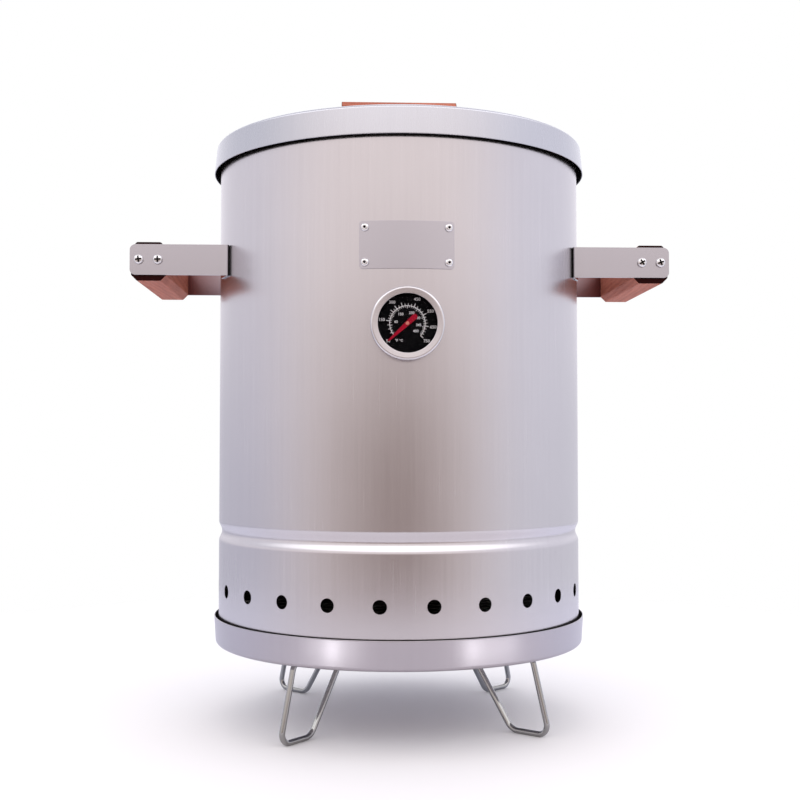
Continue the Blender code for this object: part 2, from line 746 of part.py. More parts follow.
def bracket_mesh():
    """Front strap of the right handle, with its flange bent back along the wall."""
    face = -HANDLE_SPAN / 2
    back = face + BRACKET_SHEET
    reach = BARREL_RADIUS + HANDLE_REACH
    inner = BARREL_RADIUS + SEAT_GAP
    bend_out = math.asin(face / inner)
    bend_in = math.asin(back / FLANGE_FACE)
    end = bend_in + FLANGE_LENGTH / FLANGE_FACE
    lower = arc(0, 0, inner, bend_out, end, BEND_STEPS)
    upper = arc(0, 0, FLANGE_FACE, end, bend_in, BEND_STEPS)
    corners = [(reach, face, 0), (*lower[0], BRACKET_BEND)]
    corners += [(x, y, 0) for x, y in lower[1:] + upper[:-1]]
    corners += [(*upper[-1], BRACKET_INNER_BEND), (reach, back, 0)]
    mesh = sheet_outline("bracket", [rounded(corners, BEND_STEPS)], BRACKET_HEIGHT)
    bm = bmesh.new()
    bm.from_mesh(mesh)
    tips = []
    for edge in bm.edges:
        a, b = (vert.co for vert in edge.verts)
        at_end = min(a.x, b.x) > reach - WELD_DISTANCE
        if at_end and abs(a.z - b.z) < WELD_DISTANCE:
            tips.append(edge)
    bmesh.ops.bevel(
        bm,
        geom=tips,
        offset=BRACKET_CORNER,
        segments=BEND_STEPS,
        profile=ROUND_BEVEL,
        affect="EDGES",
    )
    bm.to_mesh(mesh)
    bm.free()
    mesh.transform(Matrix.Translation((0, 0, HANDLE_Z)))
    obj = holder("bracket", mesh)
    rivets = [frame for where, frame in flange_rivet_frames().items() if where[:2] == ("right", "front")]
    holes = rods("rivet_holes", RIVET_HOLE_RADIUS, FASTENER_STEPS, [(frame, CUT_PAST) for frame in rivets])
    boolean(obj, holes, "DIFFERENCE")
    along = Matrix.Rotation(math.pi / 2, 4, "X")
    screws = [(Matrix.Translation((x, face, HANDLE_Z)) @ along, CUT_PAST) for x in screw_places()]
    boolean(obj, rods("screw_holes", SCREW_HOLE_RADIUS, FASTENER_STEPS, screws), "DIFFERENCE")
    return baked(obj)


def screw_places():
    """Distances of a strap's screws from the barrel's axis, inner one first."""
    return (GRIP_X - GRIP_SCREW_SPACING / 2, GRIP_X + GRIP_SCREW_SPACING / 2)


def grip_mesh():
    """Side grip centred on the origin with its length along X and pilot holes in both ends."""
    obj = holder("grip", block("grip", (GRIP_LENGTH, GRIP_WIDTH, GRIP_HEIGHT), GRIP_CHAMFER))
    depth = SCREW_LENGTH - BRACKET_SHEET + PILOT_PAST
    along = Matrix.Rotation(math.pi / 2, 4, "Y")
    pilots = []
    for end in (-GRIP_LENGTH / 2, GRIP_LENGTH / 2):
        for x in screw_places():
            pilots.append((Matrix.Translation((end, x - GRIP_X, GRIP_DROP)) @ along, 2 * depth))
    boolean(obj, rods("pilots", SCREW_HOLE_RADIUS, FASTENER_STEPS, pilots), "DIFFERENCE")
    return baked(obj)


def side_handles(barrel):
    bracket = bracket_mesh()
    grip = grip_mesh()
    screw = screw_mesh("grip_screw", SCREW_LENGTH)
    rivet = rivet_mesh("flange_rivet", wall_stack(BRACKET_SHEET))
    crosswise = Matrix.Rotation(math.pi / 2, 4, "Z")
    for side, sign in (("left", -1), ("right", 1)):
        seat = Matrix.Translation((sign * GRIP_X, 0, HANDLE_Z - GRIP_DROP)) @ crosswise
        piece(f"{side}_grip", grip, RED_WOOD, barrel, seat)
        for end, facing in (("front", 0), ("rear", math.pi)):
            name = f"{side}_{end}"
            strap = mirrored(bracket, side == "left", end == "rear")
            piece(f"{name}_handle_strap", strap, BRUSHED_SHEET, barrel)
            for place, x in zip(("inner", "outer"), screw_places()):
                turn = -sign if facing else sign
                frame = Matrix.Rotation(facing, 4, "Z") @ Matrix.Translation((turn * x, 0, 0))
                head = outward(0, HANDLE_SPAN / 2 + SEAT_GAP, HANDLE_Z)
                piece(f"{name}_{place}_grip_screw", screw, POLISHED_STEEL, barrel, frame @ head)
    for (side, end, level), frame in flange_rivet_frames().items():
        piece(f"{side}_{end}_{level}_strap_rivet", rivet, POLISHED_STEEL, barrel, frame)


# Nameplate
def plate_rivet_frames():
    """Frames of the nameplate's rivets, seated on the plate's face."""
    half = PLATE_RIVET_SPAN / 2 / PLATE_FACE
    rise = PLATE_RIVET_RISE / 2
    return {
        f"{level}_{side}": outward(azimuth, PLATE_FACE + SEAT_GAP, PLATE_Z + height)
        for side, azimuth in (("left", -half), ("right", half))
        for level, height in (("lower", -rise), ("upper", rise))
    }


def nameplate(barrel):
    """Blank plate rolled to the wall, with rounded corners."""
    half = PLATE_LENGTH / 2 / PLATE_FACE
    front = -math.pi / 2
    inner = arc(0, 0, PLATE_FACE - PLATE_SHEET, front - half, front + half, PLATE_STEPS)
    outer = arc(0, 0, PLATE_FACE, front + half, front - half, PLATE_STEPS)
    mesh = sheet_outline("nameplate", [inner + outer], PLATE_HEIGHT)
    bm = bmesh.new()
    bm.from_mesh(mesh)
    ends = [inner[0][0], inner[-1][0], outer[0][0], outer[-1][0]]
    corners = []
    for edge in bm.edges:
        a, b = (vert.co for vert in edge.verts)
        level = abs(a.z - b.z) < WELD_DISTANCE
        across = all(min(abs(co.x - x) for x in ends) < WELD_DISTANCE for co in (a, b))
        if level and across and abs(a.x - b.x) < PLATE_SHEET:
            corners.append(edge)
    bmesh.ops.bevel(
        bm,
        geom=corners,
        offset=PLATE_CORNER,
        segments=BEND_STEPS,
        profile=ROUND_BEVEL,
        affect="EDGES",
    )
    bm.to_mesh(mesh)
    bm.free()
    mesh.transform(Matrix.Translation((0, 0, PLATE_Z)))
    obj = piece("nameplate", mesh, BRUSHED_SHEET, barrel)
    frames = plate_rivet_frames()
    holes = [(frame, CUT_PAST) for frame in frames.values()]
    boolean(obj, rods("plate_holes", RIVET_HOLE_RADIUS, FASTENER_STEPS, holes), "DIFFERENCE")
    rivet = rivet_mesh("plate_rivet", wall_stack(PLATE_SHEET))
    for place, frame in frames.items():
        piece(f"nameplate_rivet_{place}", rivet, POLISHED_STEEL, barrel, frame)


# Thermometer
def thermometer(barrel):
    """Dial thermometer built up from the wall: stem and nut, case, dial, pointer, lens and bezel."""
    wall = outward(0, BARREL_RADIUS, THERMO_Z)
    case_radius = BEZEL_RADIUS - BEZEL_WALL - SEAT_GAP
    case_inside = case_radius - CASE_SHEET
    case_floor = SEAT_GAP + CASE_SHEET
    bush_hole = BUSH_RADIUS + SEAT_GAP
    case = [
        (case_radius, CASE_DEPTH),
        (case_radius, SEAT_GAP),
        (bush_hole, SEAT_GAP),
        (bush_hole, case_floor),
        (case_inside - CASE_LEDGE, case_floor),
        (case_inside - CASE_LEDGE, CASE_LEDGE_DEPTH),
        (case_inside, CASE_LEDGE_DEPTH),
        (case_inside, CASE_DEPTH),
    ]
    case_mesh = turned("thermometer_case", case, FITTING_STEPS, True)
    piece("thermometer_case", case_mesh, BRUSHED_SHEET, barrel, wall)

    flange = case_floor + SEAT_GAP
    stem = [
        (0, SPINDLE_DEPTH),
        (SPINDLE_RADIUS, SPINDLE_DEPTH),
        (SPINDLE_RADIUS, flange + STEM_FLANGE_SHEET),
        (STEM_FLANGE_RADIUS, flange + STEM_FLANGE_SHEET),
        (STEM_FLANGE_RADIUS, flange),
        (BUSH_RADIUS, flange),
        (BUSH_RADIUS, -BUSH_LENGTH),
        (PROBE_RADIUS, -BUSH_LENGTH),
        (PROBE_RADIUS, PROBE_RADIUS - PROBE_LENGTH),
        (0, -PROBE_LENGTH),
    ]
    piece("thermometer_stem", turned("thermometer_stem", stem, ROUND_STEPS), POLISHED_STEEL, barrel, wall)

    nut_face = math.sqrt(BARREL_INSIDE**2 - NUT_RADIUS**2) - NUT_PLAY - BARREL_RADIUS
    hexagon = circle(0, 0, NUT_RADIUS, NUT_SIDES)
    bore = circle(0, 0, bush_hole, FITTING_STEPS)
    nut_frame = wall @ Matrix.Translation((0, 0, nut_face - NUT_HEIGHT / 2))
    nut = sheet_outline("thermometer_nut", [hexagon, bore], NUT_HEIGHT)
    piece("thermometer_nut", nut, POLISHED_STEEL, barrel, nut_frame)

    dial_back = CASE_LEDGE_DEPTH + SEAT_GAP
    dial_face = dial_back + DIAL_SHEET
    spindle_hole = SPINDLE_RADIUS + SEAT_GAP
    dial_edge = case_inside - SEAT_GAP
    dial = [
        (dial_edge, dial_face),
        (dial_edge, dial_back),
        (spindle_hole, dial_back),
        (spindle_hole, dial_face),
    ]
    dial_mesh = turned("thermometer_dial", dial, FITTING_STEPS, True)
    piece("thermometer_dial", dial_mesh, BLACK_DIAL, barrel, wall)

    pointer_frame = wall @ Matrix.Translation((0, 0, dial_face + POINTER_LIFT + POINTER_SHEET / 2))
    spindle = pivot("pointer_spindle", pointer_frame.translation, barrel)
    tilt = Matrix.Rotation(POINTER_REST, 4, "Z")
    piece("thermometer_pointer", pointer_mesh(spindle_hole), RED_POINTER, spindle, pointer_frame @ tilt)

    lens_back = CASE_DEPTH + SEAT_GAP
    lens_face = lens_back + LENS_SHEET
    lens_edge = case_radius - SEAT_GAP
    lens = [(0, lens_face), (lens_edge, lens_face), (lens_edge, lens_back), (0, lens_back)]
    piece("thermometer_lens", turned("thermometer_lens", lens, FITTING_STEPS), CLEAR_LENS, barrel, wall)

    lip_back = lens_face + SEAT_GAP
    front = lip_back + BEZEL_LIP_SHEET
    crown = arc(BEZEL_RADIUS - BEZEL_ROUND, front - BEZEL_ROUND, BEZEL_ROUND, math.pi / 2, 0, BEND_STEPS)
    bezel = [
        *crown,
        (BEZEL_RADIUS, front - BEZEL_SKIRT),
        (BEZEL_RADIUS - BEZEL_WALL, front - BEZEL_SKIRT),
        (BEZEL_RADIUS - BEZEL_WALL, lip_back),
        (BEZEL_RADIUS - BEZEL_LIP, lip_back),
        (BEZEL_RADIUS - BEZEL_LIP, front),
    ]
    bezel_mesh = turned("thermometer_bezel", bezel, FITTING_STEPS, True)
    piece("thermometer_bezel", bezel_mesh, BRUSHED_SHEET, barrel, wall)


def pointer_mesh(hole_radius):
    """Flat pointer along +Y with a round hub, a slim tip and a wide tail."""
    tip_side = math.asin(POINTER_HALF_WIDTH / POINTER_HUB_RADIUS)
    tail_side = math.pi - math.asin(POINTER_TAIL_HALF_WIDTH / POINTER_HUB_RADIUS)
    quarter = math.pi / 2
    right = arc(0, 0, POINTER_HUB_RADIUS, quarter - tip_side, quarter - tail_side, BEND_STEPS)
    left = [(-x, y) for x, y in reversed(right)]
    tail = [(side * POINTER_TAIL_HALF_WIDTH, -POINTER_TAIL_LENGTH) for side in (1, -1)]
    outline = [(0, POINTER_LENGTH), *right, *tail, *left]
    hole = circle(0, 0, hole_radius, FASTENER_STEPS)
    return sheet_outline("thermometer_pointer", [outline, hole], POINTER_SHEET)


# Barrel
def air_hole_frames():
    step = math.tau / AIR_HOLE_COUNT
    height = BARREL_FOOT + AIR_HOLE_HEIGHT
    return [outward((i + 0.5) * step, BARREL_RADIUS, height) for i in range(AIR_HOLE_COUNT)]


def barrel_shell(barrel):
    shares = [i / BEAD_STEPS for i in range(BEAD_STEPS + 1)]
    bead = [(bead_depth(share), BEAD_Z + BEAD_WIDTH * (0.5 - share)) for share in shares]
    outer = [(BARREL_RADIUS - depth, height) for depth, height in bead]
    inner = [(BARREL_INSIDE - depth, height) for depth, height in reversed(bead)]
    profile = [
        (BARREL_RADIUS, BARREL_TOP),
        *outer,
        (BARREL_RADIUS, BARREL_FOOT),
        (BARREL_INSIDE, BARREL_FOOT),
        *inner,
        (BARREL_INSIDE, BARREL_TOP),
    ]
    obj = piece("barrel_shell", turned("barrel_shell", profile, SHELL_STEPS, True), BRUSHED_SHEET, barrel)
    air = [(frame, CUT_PAST) for frame in air_hole_frames()]
    boolean(obj, rods("air_holes", AIR_HOLE_RADIUS, ROUND_STEPS, air), "DIFFERENCE")
    frames = [*flange_rivet_frames().values(), *plate_rivet_frames().values()]
    rivets = [(frame, CUT_PAST) for frame in frames]
    boolean(obj, rods("rivet_holes", RIVET_HOLE_RADIUS, FASTENER_STEPS, rivets), "DIFFERENCE")
    bush = [(outward(0, BARREL_RADIUS, THERMO_Z), CUT_PAST)]
    boolean(obj, rods("bush_hole", BUSH_RADIUS + SEAT_GAP, FITTING_STEPS, bush), "DIFFERENCE")


# Lid
def vent_hole_places():
    step = math.tau / VENT_HOLE_COUNT
    return arc(0, 0, VENT_CIRCLE, step / 2, math.tau - step / 2, VENT_HOLE_COUNT - 1)


def lid_post_places():
    return {"left": -LID_POST_SPACING / 2, "right": LID_POST_SPACING / 2}


def lid_shell(lid):
    profile = pan_profile(LID_TOP_RADIUS, LID_SKIRT_RADIUS, LID_DEPTH, LID_CORNER, LID_SHEET)
    turned_over = [(radius, LID_TOP - height) for radius, height in profile]
    obj = piece("lid_shell", turned("lid_shell", turned_over, SHELL_STEPS), BRUSHED_SHEET, lid)
    vents = [(Matrix.Translation((x, VENT_OFFSET + y, LID_TOP)), CUT_PAST) for x, y in vent_hole_places()]
    boolean(obj, rods("vent_holes", VENT_HOLE_RADIUS, ROUND_STEPS, vents), "DIFFERENCE")
    posts = [(Matrix.Translation((x, 0, LID_TOP)), CUT_PAST) for x in lid_post_places().values()]
    boolean(obj, rods("post_holes", SCREW_HOLE_RADIUS, FASTENER_STEPS, posts), "DIFFERENCE")
    centre = [(Matrix.Translation((0, VENT_OFFSET, LID_TOP)), CUT_PAST)]
    pivot_hole = rods("vent_pivot_hole", VENT_RIVET_RADIUS + SEAT_GAP, FASTENER_STEPS, centre)
    boolean(obj, pivot_hole, "DIFFERENCE")


def lid_handle(lid):
    """Wood grip on two tube posts, held by long screws from under the lid."""
    post_foot = LID_TOP + SEAT_GAP
    grip_foot = post_foot + LID_POST_HEIGHT + SEAT_GAP
    bore = SCREW_RADIUS + POST_BORE_PLAY
    tube = [(LID_POST_RADIUS, LID_POST_HEIGHT), (LID_POST_RADIUS, 0), (bore, 0), (bore, LID_POST_HEIGHT)]
    post = turned("lid_post", tube, ROUND_STEPS, True)
    length = grip_foot + LID_SCREW_BITE - LID_UNDER + SEAT_GAP
    screw = screw_mesh("lid_screw", length)
    bar = block("lid_grip", (LID_GRIP_LENGTH, LID_GRIP_WIDTH, LID_GRIP_HEIGHT), GRIP_CHAMFER)
    bar.transform(Matrix.Translation((0, 0, grip_foot + LID_GRIP_HEIGHT / 2)))
    grip = piece("lid_grip", bar, RED_WOOD, lid)
    pilots = []
    for side, x in lid_post_places().items():
        piece(f"lid_post_{side}", post, POLISHED_STEEL, lid, Matrix.Translation((x, 0, post_foot)))
        head = Matrix.Translation((x, 0, LID_UNDER - SEAT_GAP)) @ Matrix.Rotation(math.pi, 4, "X")
        piece(f"lid_screw_{side}", screw, POLISHED_STEEL, lid, head)
        pilots.append((Matrix.Translation((x, 0, grip_foot)), 2 * (LID_SCREW_BITE + PILOT_PAST)))
    boolean(grip, rods("lid_pilots", SCREW_HOLE_RADIUS, FASTENER_STEPS, pilots), "DIFFERENCE")


def vent_damper(lid):
    """Disc with a thumb tab that turns on a rivet and slides its holes off those of the lid."""
    seat = LID_TOP + SEAT_GAP
    turn = pivot("damper_pivot", (0, VENT_OFFSET, seat), lid)
    start = math.asin(DAMPER_TAB_HALF_WIDTH / DAMPER_RADIUS)
    disc = arc(0, 0, DAMPER_RADIUS, start, math.tau - start, FITTING_STEPS)
    tab_centre = DAMPER_TAB_REACH - DAMPER_TAB_HALF_WIDTH
    tab = arc(tab_centre, 0, DAMPER_TAB_HALF_WIDTH, -math.pi / 2, math.pi / 2, 2 * BEND_STEPS)
    holes = [circle(x, y, VENT_HOLE_RADIUS, ROUND_STEPS) for x, y in vent_hole_places()]
    holes.append(circle(0, 0, VENT_RIVET_RADIUS + SEAT_GAP, FASTENER_STEPS))
    mesh = sheet_outline("vent_damper", [disc + tab, *holes], DAMPER_SHEET)
    middle = Matrix.Translation((0, VENT_OFFSET, seat + DAMPER_SHEET / 2))
    piece("vent_damper", mesh, BRUSHED_SHEET, turn, middle)
    stack = DAMPER_SHEET + LID_SHEET + VENT_RIVET_PLAY
    rivet = rivet_mesh("vent_rivet", stack, VENT_RIVET_RADIUS, VENT_RIVET_HEAD_RADIUS)
    head = Matrix.Translation((0, VENT_OFFSET, seat + DAMPER_SHEET + SEAT_GAP))
    piece("vent_rivet", rivet, POLISHED_STEEL, lid, head)


# Assembly
BASE = pivot("base", (0, 0, 0))
BARREL = pivot("barrel_lift", (0, 0, BARREL_FOOT), BASE)
LID = pivot("lid_lift", (0, 0, BARREL_TOP), BARREL)
CHARCOAL = pivot("charcoal_grate_lift", (0, 0, TRAY_FLOOR), BASE)
RACK = pivot("water_pan_rack_lift", (0, 0, BEAD_Z), BARREL)
PAN = pivot("water_pan_lift", (0, 0, rack_seat()[1]), RACK)
LOWER = pivot("lower_grate_lift", (0, 0, LOWER_LEDGE_Z), BARREL)
UPPER = pivot("upper_grate_lift", (0, 0, UPPER_LEDGE_Z), BARREL)

base_tray(BASE)
legs_and_clips(BASE)
charcoal_grate(CHARCOAL)
barrel_shell(BARREL)
grate_straps(BARREL)
side_handles(BARREL)
nameplate(BARREL)
thermometer(BARREL)
water_pan_rack(RACK)
water_pan(PAN)
cooking_grate("lower_grate", LOWER_GRATE_PLAY, LOWER_LEDGE_Z, LOWER)
cooking_grate("upper_grate", UPPER_GRATE_PLAY, UPPER_LEDGE_Z, UPPER)
lid_shell(LID)
lid_handle(LID)
vent_damper(LID)
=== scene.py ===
"""Looks of an upright water smoker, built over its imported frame.

Metres, +Z up. The barrel's axis is Z, the dial faces -Y, and an azimuth turns from -Y towards +X.
"""

import math

import bmesh
import bpy
from mathutils import Matrix, Vector


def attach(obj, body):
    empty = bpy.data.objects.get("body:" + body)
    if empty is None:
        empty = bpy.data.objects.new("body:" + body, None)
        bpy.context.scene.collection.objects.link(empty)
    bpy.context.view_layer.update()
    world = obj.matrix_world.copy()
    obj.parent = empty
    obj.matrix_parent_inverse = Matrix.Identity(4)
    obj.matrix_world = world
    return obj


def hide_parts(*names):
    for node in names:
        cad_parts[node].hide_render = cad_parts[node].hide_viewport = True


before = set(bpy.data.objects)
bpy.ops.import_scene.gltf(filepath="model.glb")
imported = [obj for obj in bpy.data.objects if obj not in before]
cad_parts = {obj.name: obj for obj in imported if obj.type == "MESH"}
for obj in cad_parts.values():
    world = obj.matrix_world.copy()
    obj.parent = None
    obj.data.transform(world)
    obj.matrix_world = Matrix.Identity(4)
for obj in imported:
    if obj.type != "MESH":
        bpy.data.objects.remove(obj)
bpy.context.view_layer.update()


# Base tray: a shallow pan drawn from 1.2 mm stainless sheet, with its inside painted near black as
# shade.
# Its plain rim leans out a little, and its lip is rounded where the sheet was trimmed.
def arc(x, y, radius, start, end, steps):
    """Points on an arc between two angles in degrees."""
    turns = [math.radians(start + (end - start) * i / steps) for i in range(steps + 1)]
    return [(x + radius * math.cos(a), y + radius * math.sin(a)) for a in turns]


def smoothed(mesh, crease):
    """Mesh shaded smooth, except where its faces meet at more than the crease angle."""
    mesh.shade_smooth()
    mesh.set_sharp_from_angle(angle=math.radians(crease))
    return mesh


def finished(name, bm, crease=35):
    """Smoothed mesh with its normals facing out."""
    bmesh.ops.recalc_face_normals(bm, faces=bm.faces)
    mesh = bpy.data.meshes.new(name)
    bm.to_mesh(mesh)
    bm.free()
    return smoothed(mesh, crease)


def supported(profile, closed):
    """Profile with points just inside the ends of its long runs, so that flat runs shade flat."""
    hold = 0.0004
    kept = []
    for start, end in zip(profile, [*profile[1:], profile[0] if closed else None]):
        kept.append(start)
        length = math.dist(start, end) if end else 0
        if length > 8 * hold:
            for share in (hold / length, 1 - hold / length):
                kept.append(tuple(a + (b - a) * share for a, b in zip(start, end)))
    return kept


def bridged(bm, rows, closed=False, ring=True):
    """Faces between rows of vertices. A row of one vertex is a pole.

    Closed joins the last row to the first one, and ring the last vertex of each row to its first.
    """
    for low, high in zip(rows, [*rows[1:], rows[0]] if closed else rows[1:]):
        count = max(len(low), len(high))
        for i in range(count if ring else count - 1):
            j = (i + 1) % count
            corners = [low[i % len(low)], low[j % len(low)]]
            corners += [high[j % len(high)], high[i % len(high)]]
            corners = list(dict.fromkeys(corners))
            if len(corners) > 2:
                bm.faces.new(corners)


def turned(name, profile, steps, closed=False, crease=35):
    """Mesh turned about Z from (radius, height) points, with a pole where one is on the axis."""
    bm = bmesh.new()
    rows = []
    for radius, height in supported(profile, closed):
        ring = [math.tau * i / steps for i in range(steps if radius else 1)]
        places = [(radius * math.sin(a), -radius * math.cos(a), height) for a in ring]
        rows.append([bm.verts.new(place) for place in places])
    bridged(bm, rows, closed)
    return finished(name, bm, crease)


def drawn_pan(foot, rim, depth, corner, sheet):
    """Profile of a drawn pan, from its inner floor over a rounded lip to its underside."""
    middle = foot - corner
    lip = sheet / 2
    return [
        (0, sheet),
        *arc(middle, corner, corner - sheet, -90, 0, 10),
        *arc(rim - lip, depth - lip, lip, 180, 0, 8),
        *arc(middle, corner, corner, 0, -90, 10),
        (0, 0),
    ]


def adjusted(thing, settings):
    """Thing with its own settings set by name."""
    for key, value in settings.items():
        setattr(thing, key, value)
    return thing


def feed(tree, node, inputs):
    """Sets a node's inputs, each from a plain value or from another node's output."""
    for key, value in inputs.items():
        if isinstance(value, bpy.types.NodeSocket):
            tree.links.new(value, node.inputs[key])
        else:
            node.inputs[key].default_value = value
    return node


def add(tree, kind, inputs={}, **settings):
    """New shader node."""
    return feed(tree, adjusted(tree.nodes.new(f"ShaderNode{kind}"), settings), inputs)


def sums(tree, operation, *values):
    """Output of a math node."""
    return add(tree, "Math", dict(enumerate(values)), operation=operation).outputs[0]


def parted(tree, vector):
    """X, y and z of a vector."""
    return add(tree, "SeparateXYZ", {0: vector}).outputs


def joined(tree, x, y, z):
    """Vector from its x, y and z."""
    return add(tree, "CombineXYZ", {"X": x, "Y": y, "Z": z}).outputs[0]


def stretched(tree, vector, by):
    """Vector multiplied by another, part by part."""
    inputs = {0: vector, 1: by}
    return add(tree, "VectorMath", inputs, operation="MULTIPLY").outputs[0]


def toned(tree, colour, tone):
    """Colour made lighter or darker."""
    inputs = {0: colour, "Scale": tone}
    return add(tree, "VectorMath", inputs, operation="SCALE").outputs[0]


def noise(tree, vector, scale, detail, roughness=0.5):
    """Noise from 0 to 1."""
    inputs = {"Vector": vector, "Scale": scale, "Detail": detail, "Roughness": roughness}
    return add(tree, "TexNoise", inputs).outputs[0]


def azimuth_of(tree, x, y):
    """Angle about Z from -Y towards +X."""
    return sums(tree, "ARCTAN2", x, sums(tree, "MULTIPLY", y, -1.0))


def effect(name, inputs):
    """New node group for a surface. Gives its tree, its inputs and its output node."""
    outputs = {"Colour": "Color", "Roughness": "Float", "Height": "Float"}
    tree = bpy.data.node_groups.new(name, "ShaderNodeTree")
    for way, sockets in (("INPUT", inputs), ("OUTPUT", outputs)):
        for label, kind in sockets.items():
            tree.interface.new_socket(label, in_out=way, socket_type=f"NodeSocket{kind}")
    given, out = [tree.nodes.new(f"NodeGroup{way}") for way in ("Input", "Output")]
    return tree, given.outputs, out


def brush_lines():
    """Lines of a brushed sheet, with bands and faint clouds. Vector's x runs across, y along."""
    numbers = ("Across", "Along", "Depth", "Roughness", "Unevenness")
    inputs = {"Vector": "Vector", "Colour": "Color", **dict.fromkeys(numbers, "Float")}
    tree, given, out = effect("brush_lines", inputs)
    stretch = joined(tree, given["Across"], given["Along"], 1.0)
    lines = stretched(tree, given["Vector"], stretch)
    fine = noise(tree, lines, 1.0, 4.0, 0.65)
    bands = noise(tree, lines, 0.11, 3.0)
    clouds = noise(tree, given["Vector"], 11.0, 3.0)
    total = sums(tree, "MULTIPLY_ADD", bands, 0.6, fine)
    total = sums(tree, "MULTIPLY_ADD", clouds, 0.8, total)
    total = sums(tree, "SUBTRACT", total, 1.2)
    tone = sums(tree, "MULTIPLY_ADD", total, given["Depth"], 1.0)
    rough = sums(tree, "MULTIPLY_ADD", total, given["Unevenness"], given["Roughness"])
    colour = toned(tree, given["Colour"], tone)
    feed(tree, out, {"Colour": colour, "Roughness": rough, "Height": fine})
    return tree


BRUSH_LINES = brush_lines()
BRUSH_RELIEF = 0.0002
WALL_ARM = 0.2
ROUND_ARM = 0.03


def lay(tree, direction):
    """Coordinates with x across the brush lines and y along them, on the piece itself."""
    where = add(tree, "TexCoord").outputs
    x, y, z = parted(tree, where["Object"])
    turn = azimuth_of(tree, x, y)
    if direction == "around":
        squares = sums(tree, "ADD", sums(tree, "MULTIPLY", x, x), sums(tree, "MULTIPLY", y, y))
        radius = sums(tree, "SQRT", squares)
        along = sums(tree, "MULTIPLY", turn, ROUND_ARM)
        return joined(tree, sums(tree, "ADD", radius, z), along, 0.0)
    if direction == "along":
        return joined(tree, sums(tree, "ADD", y, z), x, y)
    wall = joined(tree, sums(tree, "MULTIPLY", turn, WALL_ARM), z, 0.0)
    if direction == "up":
        return wall
    steep = sums(tree, "ABSOLUTE", parted(tree, where["Normal"])["Z"])
    inputs = {0: sums(tree, "GREATER_THAN", steep, 0.7), 4: wall, 5: joined(tree, y, x, 0.0)}
    return add(tree, "Mix", inputs, data_type="VECTOR").outputs[1]


def plain_finish(name):
    """New material. Gives it, its tree and its shader."""
    made = bpy.data.materials.new(name)
    made.use_nodes = True
    return made, made.node_tree, made.node_tree.nodes["Principled BSDF"]


def surfaced(tree, shader, colour, roughness, height, strength, distance):
    """Gives a shader its colour, roughness and relief."""
    bump = {"Height": height, "Strength": strength, "Distance": distance}
    relief = add(tree, "Bump", bump).outputs[0]
    feed(tree, shader, {"Base Color": colour, "Roughness": roughness, "Normal": relief})


def brushed(name, colour, roughness, direction, lines, depth, uneven, bump, spread=0.0):
    """Brushed or drawn bare metal, with its lines' counts across and along a metre.

    Spread is how much more it blurs reflections across its lines than along them.
    """
    made, tree, shader = plain_finish(name)
    inputs = {"Vector": lay(tree, direction), "Colour": (*colour, 1.0), "Depth": depth}
    inputs.update({"Across": lines[0], "Along": lines[1]})
    inputs.update({"Roughness": roughness, "Unevenness": uneven})
    drawn = add(tree, "Group", inputs, node_tree=BRUSH_LINES).outputs
    surfaced(tree, shader, *drawn, bump, BRUSH_RELIEF)
    feed(tree, shader, {"Metallic": 1.0, "Anisotropic": spread})
    return made


def faced(mesh, finishes, *tests):
    """Gives a mesh its finishes: each after the first is for the faces that pass its test."""
    for made in finishes:
        mesh.materials.append(made)
    for face in mesh.polygons:
        for index, test in enumerate(tests, 1):
            if test(face.center, face.normal):
                face.material_index = index
    return mesh


def faces_axis(centre, normal):
    """Whether a face looks towards the barrel's axis."""
    reach = math.hypot(centre.x, centre.y)
    return centre.x * normal.x + centre.y * normal.y < -0.4 * reach


def piece(node, mesh, finish, body, place=Matrix(), extra=False):
    """Finished piece that rides on a body.

    It stands for the CAD node of its name, unless it is an extra that no node stands behind.
    """
    if not mesh.materials:
        mesh.materials.append(finish)
    obj = bpy.data.objects.new(node if extra else f"finished_{node}", mesh)
    bpy.context.scene.collection.objects.link(obj)
    obj.matrix_world = place
    nodes = () if extra else (node,)
    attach(obj, body)
    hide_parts(*nodes)
    return obj


TRAY_FOOT = 0.2032
TRAY_RIM = 0.2048
TRAY_DEPTH = 0.030
TRAY_CORNER = 0.004
TRAY_SHEET = 0.0012
TRAY_UNDER = 0.084
FLOOR_BAND = 0.010
SHELL_STEPS = 192
TRAY_STEEL = brushed(
    "tray_steel", (0.455, 0.432, 0.464), 0.25, "drawn", (1400, 14),
    depth=0.12, uneven=0.04, bump=0.025, spread=0.6,
)
# Near-black steel for insides and tight bends: painted shade where little light reaches.
SHADE_PAINTED_STEEL = brushed(
    "shade_painted_steel", (0.020, 0.018, 0.017), 0.5, "drawn", (300, 60),
    depth=0.5, uneven=0.12, bump=0.06,
)


def in_tray(centre, normal):
    """Whether a face lies on the tray's inside."""
    on_floor = normal.z > 0.7 and centre.z < TRAY_UNDER + FLOOR_BAND
    return on_floor or faces_axis(centre, normal)


tray = drawn_pan(TRAY_FOOT, TRAY_RIM, TRAY_DEPTH, TRAY_CORNER, TRAY_SHEET)
tray = turned("base_tray", [(r, TRAY_UNDER + z) for r, z in tray], SHELL_STEPS)
# The tray's inside takes the near-black painted shade.
tray = faced(tray, (TRAY_STEEL, SHADE_PAINTED_STEEL), in_tray)
base_tray = piece("base_tray", tray, None, "base")


